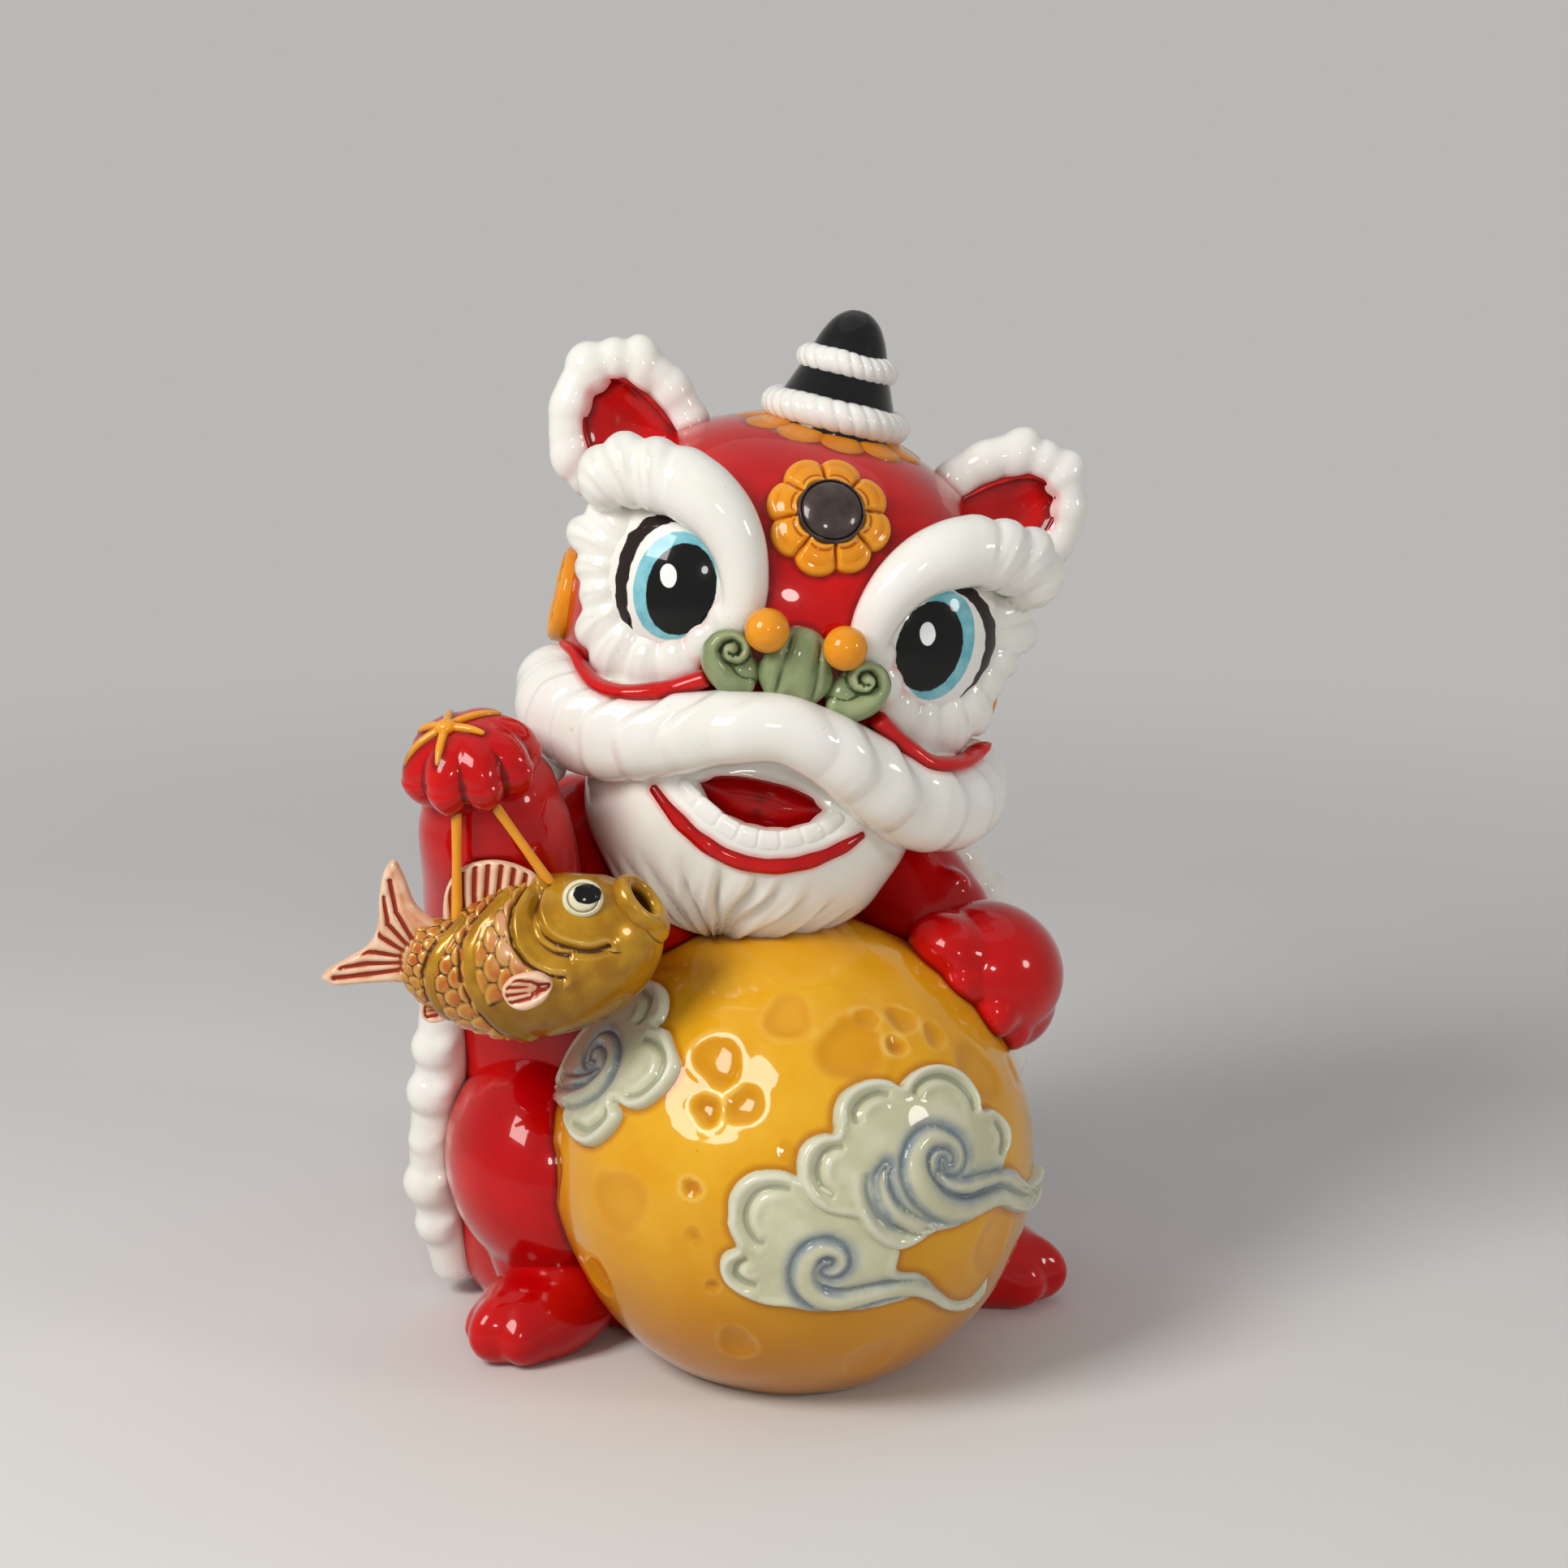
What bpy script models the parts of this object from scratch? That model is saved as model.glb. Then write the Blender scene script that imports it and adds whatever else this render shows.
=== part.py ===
"""Glazed ceramic lion figurine: a seated festival lion that hugs a moon and holds up a carp.

Each press-moulded or slip-cast piece is one named object. Lengths are in millimetres up to the
point where a mesh is made, and the objects themselves are in metres. The lion faces -Y, +Z is up,
and the origin lies on the resting plane under the torso, just behind the moon's foot.
"""

import math

import bmesh
import bpy
import numpy as np
from mathutils import Euler, Matrix, Vector

MM = 0.001

# Joints: a luted joint keeps this much slip between two pieces.
SLIP = 0.3
WALL = 4.0

# Moon
MOON_RADIUS = 52.0
MOON_FOOT_CUT = 7.0
MOON_Y = -32.0
MOON_VENT_RADIUS = 6.0
CLOUD_RELIEF = 2.0
SCROLL_RADIUS = 1.7

# Torso; BODY_X sets the body a little to the lion's right of the moon
BODY_X = -4.0
TORSO_HEIGHT = 124.0
TORSO_Y = 22.0
TORSO_HALF_WIDTH = 60.0
TORSO_HALF_DEPTH = 44.0
TORSO_FLOOR = 5.0
VENT_RADIUS = 8.0
NECK_BORE_RADIUS = 13.0
FRINGE_RADIUS = 6.5
SPINE_RADIUS = 6.0
TAIL_RADIUS = 7.5

# Limbs
SHOULDER_DROP = 20.0
SLEEVE_RADIUS = 17.0
PAW_RADIUS = 15.5
LEFT_PAW_RADIUS = 14.5
THIGH_HALF_SIZE = (20.0, 26.0, 25.0)
FOOT_LENGTH = 31.0
FOOT_HALF_WIDTH = 12.0
FOOT_HEIGHT = 19.0

# Head, in its own frame: X to the lion's left, Y to its back, Z to its crown. The head and all that
# is luted to it are drawn at the drawn depth, and the frame stretches them together to the real one.
HEAD_RISE = 33.0
HEAD_TURN = (-5.7, 13.9, -14.2)
HEAD_HALF_WIDTH = 47.0
HEAD_HALF_DEPTH = 48.0
DRAWN_HALF_DEPTH = 48.0
HEAD_HALF_HEIGHT = 43.0
HEAD_SQUARENESS = 2.25
FLOWER_RADIUS = 13.1
FLOWER_PETALS = 8
MIRROR_RADIUS = 7.3
DISC_RADIUS = 10.5
BEAD_RADIUS = 4.6
HORN_HEIGHT = 27.0
HORN_BASE_RADIUS = 14.0
EAR_THICKNESS = 9.0
PIPING_RADIUS = 1.4
MOUSTACHE_RADIUS = 11.8
BROW_RADIUS = 7.3
CHEEK_FUR_RADIUS = 6.6

# Carp
FISH_GIRTH = 16.2
FISH_FLATNESS = 0.84
CORD_RADIUS = 1.6

MOON_CENTRE = np.array([0.0, MOON_Y, MOON_RADIUS - MOON_FOOT_CUT])
HEAD_CENTRE = (7.4, -1.6, TORSO_HEIGHT + HEAD_RISE)
SHOULDER_HEIGHT = TORSO_HEIGHT - SHOULDER_DROP
RAISED_WRIST = np.array([BODY_X - 60.0, -27.0, TORSO_HEIGHT + 3.0])
RAISED_PALM = RAISED_WRIST + (-6, -8, 11)
SIDES = {"right": -1, "left": 1}
FLAT_ENOUGH = math.radians(1.5)
MOON_FACETS = (20, 13)

COLOURS = {
    "red": ((0.55, 0.01, 0.01), 0.12, 0.0),
    "white": ((0.86, 0.84, 0.78), 0.12, 0.0),
    "moon_yellow": ((0.80, 0.42, 0.04), 0.10, 0.0),
    "celadon": ((0.55, 0.62, 0.50), 0.15, 0.0),
    "jade": ((0.30, 0.42, 0.25), 0.12, 0.0),
    "black": ((0.01, 0.01, 0.01), 0.06, 0.0),
    "amber": ((0.80, 0.36, 0.02), 0.12, 0.0),
    "bronze": ((0.10, 0.07, 0.06), 0.22, 0.6),
    "gold": ((0.55, 0.36, 0.10), 0.22, 0.4),
}

finished = []
outsides = []


# Materials and objects


def glaze(name):
    """A glaze by its colour name, made once."""
    material = bpy.data.materials.get(name)
    if material:
        return material
    colour, roughness, metallic = COLOURS[name]
    material = bpy.data.materials.new(name)
    material.use_nodes = True
    shader = material.node_tree.nodes["Principled BSDF"]
    shader.inputs["Base Color"].default_value = (*colour, 1.0)
    shader.inputs["Roughness"].default_value = roughness
    shader.inputs["Metallic"].default_value = metallic
    return material


def add(name, form, colour=None, frame=None):
    """Puts a bmesh in millimetres into the scene as an object, in the frame of an empty if given."""
    mesh = bpy.data.meshes.new(name)
    bmesh.ops.scale(form, vec=(MM, MM, MM), verts=form.verts)
    form.to_mesh(mesh)
    form.free()
    made = bpy.data.objects.new(name, mesh)
    bpy.context.scene.collection.objects.link(made)
    if colour:
        mesh.materials.append(glaze(colour))
    if frame:
        made.parent = frame
    bpy.context.view_layer.update()
    return made


def remove(thing):
    bpy.data.objects.remove(thing, do_unlink=True)


def baked(thing):
    """Applies a piece's modifiers and keeps only its largest body."""
    graph = bpy.context.evaluated_depsgraph_get()
    mesh = bpy.data.meshes.new_from_object(thing.evaluated_get(graph))
    thing.modifiers.clear()
    thing.data = mesh
    form = bmesh.new()
    form.from_mesh(mesh)
    bmesh.ops.remove_doubles(form, verts=form.verts, dist=0.01 * MM)
    drop_loose_bodies(form)
    bmesh.ops.triangulate(form, faces=form.faces)
    form.to_mesh(mesh)
    form.free()
    return thing


def drop_loose_bodies(form):
    """Removes the offcuts that a cut leaves beside the piece."""
    form.verts.ensure_lookup_table()
    unseen = set(form.verts)
    bodies = []
    while unseen:
        stack = [unseen.pop()]
        body = list(stack)
        while stack:
            for edge in stack.pop().link_edges:
                for vertex in edge.verts:
                    if vertex in unseen:
                        unseen.remove(vertex)
                        stack.append(vertex)
                        body.append(vertex)
        bodies.append(body)
    for body in sorted(bodies, key=len)[:-1]:
        bmesh.ops.delete(form, geom=body, context="VERTS")


def combine(thing, others, operation, careful=False):
    """Joins helpers to a piece, or cuts them out, and removes them; careful allows for folds."""
    for other in others:
        boolean = thing.modifiers.new(operation.lower(), "BOOLEAN")
        boolean.operation = operation
        boolean.object = other
        boolean.use_self = careful or operation == "UNION"
    baked(thing)
    for other in others:
        remove(other)
    return thing


def box_of(thing, margin=0.0):
    corners = np.array([thing.matrix_world @ Vector(c) for c in thing.bound_box])
    return corners.min(0) - margin * MM, corners.max(0) + margin * MM


def near(first, second):
    low_a, high_a = box_of(first, SLIP)
    low_b, high_b = box_of(second, SLIP)
    return bool((low_a < high_b).all() and (low_b < high_a).all())


def grown(outside, gap):
    """A copy of a piece's uncut outside that is gap larger all round."""
    cutter = outside.copy()
    cutter.data = outside.data.copy()
    bpy.context.scene.collection.objects.link(cutter)
    swell = cutter.modifiers.new("gap", "DISPLACE")
    swell.mid_level = 0
    swell.strength = gap * MM
    bpy.context.view_layer.update()
    return baked(cutter)


def simplify(piece):
    """Merges the flat slivers that cuts leave, so long as the piece stays closed."""
    form = bmesh.new()
    form.from_mesh(piece.data)
    bmesh.ops.dissolve_limit(form, angle_limit=FLAT_ENOUGH, verts=form.verts, edges=form.edges)
    bmesh.ops.triangulate(form, faces=form.faces)
    if all(edge.is_manifold for edge in form.edges):
        form.to_mesh(piece.data)
    form.free()


def seat(piece, careful=False):
    """Trims a new piece to fit on every piece luted before it; its uncut outside is kept as a cutter."""
    simplify(piece)
    outside = piece.copy()
    outside.data = piece.data.copy()
    outside.name = piece.name + "_outside"
    bpy.context.scene.collection.objects.link(outside)
    outside.hide_render = True
    outside.display_type = "WIRE"
    bpy.context.view_layer.update()
    hosts = [host for host in outsides if near(piece, host)]
    combine(piece, [grown(host, SLIP) for host in hosts], "DIFFERENCE", careful)
    simplify(piece)
    outsides.append(outside)
    finished.append(piece)
    return piece


# Shapes, in millimetres


def globe(shape, segments, rings):
    """A sphere primitive whose points are moved by a function of the unit direction."""
    form = bmesh.new()
    bmesh.ops.create_uvsphere(form, u_segments=segments, v_segments=rings, radius=1)
    for vertex in form.verts:
        vertex.co = Vector(shape(vertex.co.normalized()))
    return form


def ellipsoid(centre, half_size, turn=(0, 0, 0), segments=14, rings=9):
    matrix = Matrix.LocRotScale(Vector(centre), Euler(map(math.radians, turn)), Vector(half_size))
    return globe(lambda d: matrix @ d, segments, rings)


def turned(profile, steps, centre=(0, 0, 0), turn=(0, 0, 0)):
    """A turned solid from (radius, height) pairs, from the axis at the bottom to the axis at the top."""
    form = bmesh.new()
    points = [form.verts.new((radius, 0, height)) for radius, height in profile]
    edges = [form.edges.new(pair) for pair in zip(points, points[1:])]
    bmesh.ops.spin(form, geom=points + edges, cent=(0, 0, 0), axis=(0, 0, 1), dvec=(0, 0, 0),
                   angle=math.tau, steps=steps, use_merge=True)
    bmesh.ops.remove_doubles(form, verts=form.verts, dist=0.001)
    bmesh.ops.recalc_face_normals(form, faces=form.faces)
    place = Matrix.LocRotScale(Vector(centre), Euler(map(math.radians, turn)), None)
    bmesh.ops.transform(form, matrix=place, verts=form.verts)
    return form


def smooth_path(stations, count):
    """Catmull-Rom through (x, y, z, radius) stations, at evenly spread parameters."""
    points = np.array(stations, float)
    padded = np.vstack([2 * points[0] - points[1], points, 2 * points[-1] - points[-2]])
    found = []
    for at in np.linspace(0, len(points) - 1.000001, count):
        i = int(at)
        t = at - i
        a, b, c, d = padded[i : i + 4]
        found.append(0.5 * (2 * b + (c - a) * t + (2 * a - 5 * b + 4 * c - d) * t * t
                            + (3 * b - a - 3 * c + d) * t ** 3))
    return np.array(found)


def roll(stations, rings, sides, lobes=0, lobe_height=0.0, flatten=1.0, flat_axis=(0, 1, 0)):
    """A round-ended roll along stations; lobes swell it along its length, as locks of moulded fur do."""
    path = smooth_path(stations, rings)
    centres, radii = path[:, :3], path[:, 3].copy()
    share = np.linspace(0, 1, rings)
    radii *= 1 + lobe_height * (np.abs(np.sin(math.pi * lobes * share)) - 0.6) * (lobes > 0)
    tangents = np.gradient(centres, axis=0)
    tangents /= np.linalg.norm(tangents, axis=1)[:, None]
    form = bmesh.new()
    side = np.cross(tangents[0], flat_axis)
    rows = []
    ends = [(-0.62, 0.62), *[(0.0, 1.0)] * rings, (0.62, 0.62)]
    for row, (along, width) in enumerate(ends):
        i = min(max(row - 1, 0), rings - 1)
        side -= tangents[i] * (side @ tangents[i])
        side /= np.linalg.norm(side)
        other = np.cross(tangents[i], side)
        centre = centres[i] + tangents[i] * along * radii[i]
        ring = []
        for k in range(sides):
            angle = math.tau * k / sides
            offset = side * math.cos(angle) + other * math.sin(angle) * flatten
            ring.append(form.verts.new(centre + offset * radii[i] * width))
        rows.append(ring)
    for low, high in zip(rows, rows[1:]):
        for k in range(sides):
            form.faces.new((low[k], low[(k + 1) % sides], high[(k + 1) % sides], high[k]))
    for ring, i, sign in ((rows[0], 0, -1), (rows[-1], rings - 1, 1)):
        pole = form.verts.new(centres[i] + tangents[i] * sign * radii[i] * 0.95)
        for k in range(sides):
            form.faces.new((ring[k], ring[(k + 1) % sides], pole))
    bmesh.ops.recalc_face_normals(form, faces=form.faces)
    return form


def plate(outline, thickness, place):
    """A flat outline in its own X and Z, thickened along Y, set in place by a matrix."""
    form = bmesh.new()
    face = form.faces.new([form.verts.new((x, -thickness / 2, z)) for x, z in outline])
    extruded = bmesh.ops.extrude_face_region(form, geom=[face])
    moved = [v for v in extruded["geom"] if isinstance(v, bmesh.types.BMVert)]
    bmesh.ops.translate(form, verts=moved, vec=(0, thickness, 0))
    bmesh.ops.recalc_face_normals(form, faces=form.faces)
    bmesh.ops.transform(form, matrix=place, verts=form.verts)
    return form


def pad(outline, axis, rows):
    """A cushion in a closed outline, from (scale, shift along the axis) rows; scale 0 is the middle."""
    points = np.array(outline, float)
    middle = points.mean(axis=0)
    axis = np.array(axis, float) / np.linalg.norm(axis)
    form = bmesh.new()
    rings = []
    for scale, shift in rows[1:-1]:
        row = [middle + (point - middle) * scale + axis * shift for point in points]
        rings.append([form.verts.new(place) for place in row])
    first, last = (form.verts.new(middle + axis * rows[end][1]) for end in (0, -1))
    count = len(points)
    for low, high in zip(rings, rings[1:]):
        for k in range(count):
            form.faces.new((low[k], low[(k + 1) % count], high[(k + 1) % count], high[k]))
    for ring, pole in ((rings[0], first), (rings[-1], last)):
        for k in range(count):
            form.faces.new((ring[k], ring[(k + 1) % count], pole))
    bmesh.ops.recalc_face_normals(form, faces=form.faces)
    return form


def scallops(count, radius):
    """A petalled outline in a plane, four points to a petal."""
    points = []
    for k in range(4 * count):
        angle = math.tau * (k - 0.5) / (4 * count)
        reach = radius * (0.80 + 0.20 * abs(math.cos(count * angle / 2)) ** 0.6)
        points.append((reach * math.sin(angle), reach * math.cos(angle)))
    return points


def facing(spot, direction):
    """A frame at a spot whose Z points along a direction."""
    turn = Vector(direction).to_track_quat("Z", "Y").to_matrix().to_4x4()
    return Matrix.Translation(spot) @ turn


def fused(name, forms, colour, frame=None):
    """One piece from forms that overlap, joined by Boolean union."""
    first, *rest = forms
    piece = add(name, first, colour, frame)
    helpers = [add(name + "_lump", form, None, frame) for form in rest]
    return combine(piece, helpers, "UNION")


def above_table(piece, level=0.0):
    """Cuts a piece flat on the resting plane, or at a level above it."""
    low, high = box_of(piece, 10)
    size = (high - low) / MM
    block = bmesh.new()
    bmesh.ops.create_cube(block, size=1)
    middle = Vector((low + high) / 2 / MM)
    matrix = Matrix.LocRotScale(Vector((middle.x, middle.y, level - size[2] / 2)), None, Vector(size))
    bmesh.ops.transform(block, matrix=matrix, verts=block.verts)
    return combine(piece, [add("table", block)], "DIFFERENCE")


# Moon and its clouds


def moon_point(longitude, latitude, lift=0.0):
    """A point on the moon; longitude 0 faces front and grows towards the lion's left."""
    lon, lat = math.radians(longitude), math.radians(latitude)
    outward = np.array([math.sin(lon) * math.cos(lat), -math.cos(lon) * math.cos(lat), math.sin(lat)])
    return MOON_CENTRE + outward * (MOON_RADIUS + lift)


def make_moon():
    ball = ellipsoid(MOON_CENTRE, (MOON_RADIUS,) * 3, (0, 0, 0), *MOON_FACETS)
    return seat(above_table(add("moon", ball, "moon_yellow")))


def moon_vent():
    """The air hole from the moon's hollow into the torso's."""
    reach = MOON_RADIUS + 9
    profile = [(0, 0), (MOON_VENT_RADIUS, 0), (MOON_VENT_RADIUS, reach), (0, reach)]
    return add("moon_vent", turned(profile, 12, MOON_CENTRE, (-90, 0, 0)))


def hollow_moon(moon):
    inner = MOON_RADIUS - WALL
    cavity = add("moon_cavity", ellipsoid(MOON_CENTRE, (inner,) * 3, segments=14, rings=9))
    above_table(cavity, WALL)
    combine(moon, [cavity, moon_vent()], "DIFFERENCE")


def cloud_lobe(longitude, latitude, radius):
    """A cone from the moon's middle that cuts one round lobe of a cloud out of a thin shell."""
    low, high = 0.8 * MOON_RADIUS, 1.15 * MOON_RADIUS
    profile = [(0, low), (radius * 0.8, low), (radius * 1.15, high), (0, high)]
    form = turned(profile, 11)
    outward = moon_point(longitude, latitude) - MOON_CENTRE
    bmesh.ops.transform(form, matrix=facing(MOON_CENTRE, outward), verts=form.verts)
    return form


def scroll(centre, turns, start, tail):
    """The curled roll of a cloud: a spiral from its eye outwards, then the wisp it runs out into."""
    lon, lat = centre
    widen = 1 / math.cos(math.radians(lat))
    stations = []
    steps = 9
    for k in range(steps):
        share = k / (steps - 1)
        angle = math.radians(start + 360 * turns * share)
        reach = 2.6 + 5.2 * share
        spot = (lon + widen * reach * math.cos(angle), lat + reach * math.sin(angle))
        stations.append((*moon_point(*spot, CLOUD_RELIEF), SCROLL_RADIUS * (0.7 + 0.3 * share)))
    for lon, lat, radius in tail:
        stations.append((*moon_point(lon, lat, 0.5 + radius * 0.4), radius))
    return roll(stations, 22, 6)


def make_cloud(name, lobes, curl):
    cones = [cloud_lobe(*lobe) for lobe in lobes]
    cloud = fused(name, cones, "celadon")
    lifted = MOON_RADIUS + CLOUD_RELIEF
    shell = add("shell", ellipsoid(MOON_CENTRE, (lifted,) * 3, (0, 0, 0), *MOON_FACETS))
    combine(cloud, [shell], "INTERSECT")
    combine(cloud, [add("curl", scroll(*curl))], "UNION")
    seat(cloud, careful=True)


# Lobes of each cloud as (longitude, latitude, radius), and its curl as (middle, turns, start, wisp)
UPPER_CLOUD = ((-9, 14.5, 8.2), (1, 28, 7.4), (20, 26.5, 9.0), (32, 16, 6.8), (5, 5, 8.8), (10, 16, 9.5),
               (21, 12, 9.5))
LOWER_CLOUD = ((-24, 7, 8.4), (-27, -8.5, 7.0), (-16, -8.5, 9.0), (-5, -8.5, 9.0), (-12, 3, 9.0),
               (3, -10, 6.2))
SIDE_CLOUD = ((-76, 46, 7.6), (-63, 33, 8.6), (-76, 20, 7.4), (-86, 34, 10.5), (-74, 33, 7.0))
UPPER_CURL = ((20, 13), 1.15, 60, ((30, 1.5, 2.2), (37, 1.5, 2.1), (45, -3, 1.9), (54, -4, 1.2)))
LOWER_CURL = ((-10.5, -6.5), 1.0, 0, ((-3, -15, 2.2), (6, -13.5, 2.1), (14, -16, 2.0), (22, -23, 1.8),
                                      (31, -26, 1.0)))
SIDE_CURL = ((-83, 32), 0.95, 100, ((-88, 21, 2.2), (-98, 19, 1.8), (-104, 21, 1.0)))


def make_clouds():
    make_cloud("moon_cloud_upper", UPPER_CLOUD, UPPER_CURL)
    make_cloud("moon_cloud_lower", LOWER_CLOUD, LOWER_CURL)
    make_cloud("moon_cloud_side", SIDE_CLOUD, SIDE_CURL)


# Torso, cape fringe and tail

TORSO_PROFILE = ((0.86, 0.0), (0.97, 0.08), (1.0, 0.24), (0.97, 0.45), (0.86, 0.68), (0.66, 0.86),
                 (0.43, 0.97))


def torso_form(inset, steps):
    """The torso as a turned, flattened body; inset makes the hollow's shape inside the same wall."""
    low = TORSO_FLOOR if inset else 0.0
    high = TORSO_HEIGHT - inset
    rows = [(TORSO_HALF_WIDTH * share - inset, low + (high - low) * height)
            for share, height in TORSO_PROFILE]
    form = turned([(0, low), *rows, (0, high)], steps)
    flat = TORSO_HALF_DEPTH / TORSO_HALF_WIDTH
    bmesh.ops.scale(form, vec=(1, flat, 1), verts=form.verts)
    bmesh.ops.translate(form, vec=(BODY_X, TORSO_Y, 0), verts=form.verts)
    return form


def make_torso():
    return seat(add("torso", torso_form(0, 20), "red"))


def bore(name, radius, low, high, x, y):
    """An upright drill that cuts an air hole."""
    return add(name, turned([(0, low), (radius, low), (radius, high), (0, high)], 14, (x, y, 0)))


def hollow_torso(torso, moon_outside):
    cavity = add("torso_cavity", torso_form(WALL, 12))
    combine(cavity, [grown(moon_outside, WALL)], "DIFFERENCE")
    vent = bore("vent", VENT_RADIUS, -5, TORSO_FLOOR + 5, BODY_X, TORSO_Y + 14)
    low, high = TORSO_HEIGHT - 3 * WALL, TORSO_HEIGHT + 9
    neck = bore("neck", NECK_BORE_RADIUS, low, high, BODY_X + 4, TORSO_Y - 6)
    combine(torso, [cavity, vent, neck, moon_vent()], "DIFFERENCE")


# Stations as (share of the half-width, y, share of the height, share of the radius)
FRINGE_STATIONS = (
    (0.80, -4, 1.02, 0.80),
    (0.93, 4, 0.88, 0.95),
    (1.02, 8, 0.72, 1.0),
    (1.09, 12, 0.48, 1.0),
    (1.13, 18, 0.24, 1.0),
    (1.00, 24, 0.045, 0.90),
)
# Stations as (x, y past the torso's back, share of the height, share of the radius)
SPINE_STATIONS = ((0, -28, 1.03, 0.8), (0, -10, 0.84, 1.0), (0, 0, 0.63, 1.0), (0, 2, 0.45, 0.9))
TAIL_STATIONS = ((0, -4, 0.22, 0.9), (4, 8, 0.27, 1.0), (8, 14, 0.37, 0.95), (6, 12, 0.48, 0.8),
                 (0, 8, 0.56, 0.5))


def back_path(stations, radius):
    """Stations behind the torso as points with a radius."""
    back = TORSO_Y + TORSO_HALF_DEPTH
    return [(BODY_X + x, back + y, TORSO_HEIGHT * height, radius * share)
            for x, y, height, share in stations]


def make_cape_trim():
    for name, side in SIDES.items():
        path = [(BODY_X + side * TORSO_HALF_WIDTH * out, y, TORSO_HEIGHT * height, FRINGE_RADIUS * share)
                for out, y, height, share in FRINGE_STATIONS]
        seat(above_table(add(name + "_cape_fringe", roll(path, 18, 6, 9, 0.35), "white")), careful=True)
    tuft = ((-44, -8, 3, 4.5), (-47, -15, 6, 4.2))
    path = [(BODY_X + x, y, TORSO_HEIGHT + z, radius) for x, y, z, radius in tuft]
    seat(add("right_shoulder_fur", roll(path, 4, 8), "white"))
    seat(add("spine_fur", roll(back_path(SPINE_STATIONS, SPINE_RADIUS), 12, 6, 6, 0.3), "white"))
    seat(add("tail", roll(back_path(TAIL_STATIONS, TAIL_RADIUS), 10, 6, 4, 0.25), "white"))


# Legs and arms


def make_legs():
    for name, side in SIDES.items():
        ankle = [(BODY_X + side * x, *rest) for x, *rest in ((45, -3, 26, 14), (42, -7, 9, 11))]
        thigh = ellipsoid((BODY_X + side * 45, -1, 38), THIGH_HALF_SIZE, (12, side * 6, 0), 14, 9)
        seat(above_table(fused(name + "_leg", [thigh, roll(ankle, 4, 9)], "red")))
    for name, side, heel, splay in (("right", -1, (-39, -8), 64), ("left", 1, (38, -8), 58)):
        seat(above_table(make_foot(name, side, heel, splay)))


def make_foot(name, side, heel, splay):
    """A foot with three toes; splay is the angle from straight ahead, in degrees."""
    turn = math.radians(splay)
    ahead = np.array([side * math.sin(turn), -math.cos(turn), 0])
    across = np.array([ahead[1], -ahead[0], 0])
    heel = np.array([*heel, 0.0])
    middle = heel + ahead * FOOT_LENGTH * 0.42 + (0, 0, FOOT_HEIGHT * 0.42)
    heading = math.degrees(math.atan2(ahead[1], ahead[0]))
    sole_size = (FOOT_LENGTH * 0.5, FOOT_HALF_WIDTH, FOOT_HEIGHT * 0.56)
    forms = [ellipsoid(middle, sole_size, (0, 0, heading), 10, 7)]
    for step in (-1, 0, 1):
        reach = FOOT_LENGTH * (0.74 - 0.06 * abs(step))
        spot = heel + ahead * reach + across * step * FOOT_HALF_WIDTH * 0.52 + (0, 0, 6.0)
        forms.append(ellipsoid(spot, (8.5, 5.2, 7.6), (0, 0, heading), 7, 5))
    return fused(name + "_foot", forms, "red")


def make_arms():
    upper = ((BODY_X - 32, 8, SHOULDER_HEIGHT + 2, SLEEVE_RADIUS),
             (BODY_X - 50, -7, SHOULDER_HEIGHT - 8, SLEEVE_RADIUS))
    fore = ((BODY_X - 53, -11, SHOULDER_HEIGHT - 12, SLEEVE_RADIUS + 1),
            (BODY_X - 56, -19, SHOULDER_HEIGHT + 5, SLEEVE_RADIUS), (*RAISED_WRIST, SLEEVE_RADIUS - 1))
    seat(fused("right_sleeve", [roll(upper, 4, 10), roll(fore, 5, 12)], "red"))
    elbow = moon_point(108, 40, 11)
    reach = ((34, 8, SHOULDER_HEIGHT + 4, 14.5), (40, -2, SHOULDER_HEIGHT - 7, 13.5), (*elbow, 13.0))
    seat(add("left_sleeve", roll(reach, 6, 11), "red"))


def finger(centre, toward, half_size):
    """One finger of a paw, long along a direction."""
    form = ellipsoid((0, 0, 0), half_size, segments=7, rings=5)
    bmesh.ops.transform(form, matrix=facing(centre, toward), verts=form.verts)
    return form


def make_paws():
    forms = [ellipsoid(RAISED_PALM, (PAW_RADIUS * 0.94, PAW_RADIUS * 0.95, 10), (14, -12, 0), 14, 9)]
    for angle in (-72, -26, 20, 62):
        lon = math.radians(angle)
        spot = RAISED_PALM + (PAW_RADIUS * 0.66 * math.sin(lon), -PAW_RADIUS * 0.62 * math.cos(lon), -2.5)
        forms.append(finger(spot, (math.sin(lon) * 0.5, -math.cos(lon) * 0.5, -1), (6.4, 6.4, 8.2)))
    seat(fused("right_paw", forms, "red"))
    palm = moon_point(93, 38, 8)
    forms = [ellipsoid(palm, (LEFT_PAW_RADIUS,) * 3, segments=10, rings=7)]
    for lon, lat in ((68, 58), (77, 46), (82, 34), (88, 23)):
        spot = moon_point(lon, lat, 3.0)
        forms.append(finger(spot, spot - palm, (7.0, 7.0, 10.5)))
    seat(fused("left_paw", forms, "red"))


# Head


def head_direction(direction):
    """Stretches a unit direction to the head's rounded-box surface."""
    x, y, z = (abs(c) for c in direction)
    power = HEAD_SQUARENESS
    reach = (x / HEAD_HALF_WIDTH) ** power + (y / DRAWN_HALF_DEPTH) ** power
    reach += (z / HEAD_HALF_HEIGHT) ** power
    return Vector(direction) / reach ** (1 / power)


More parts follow.
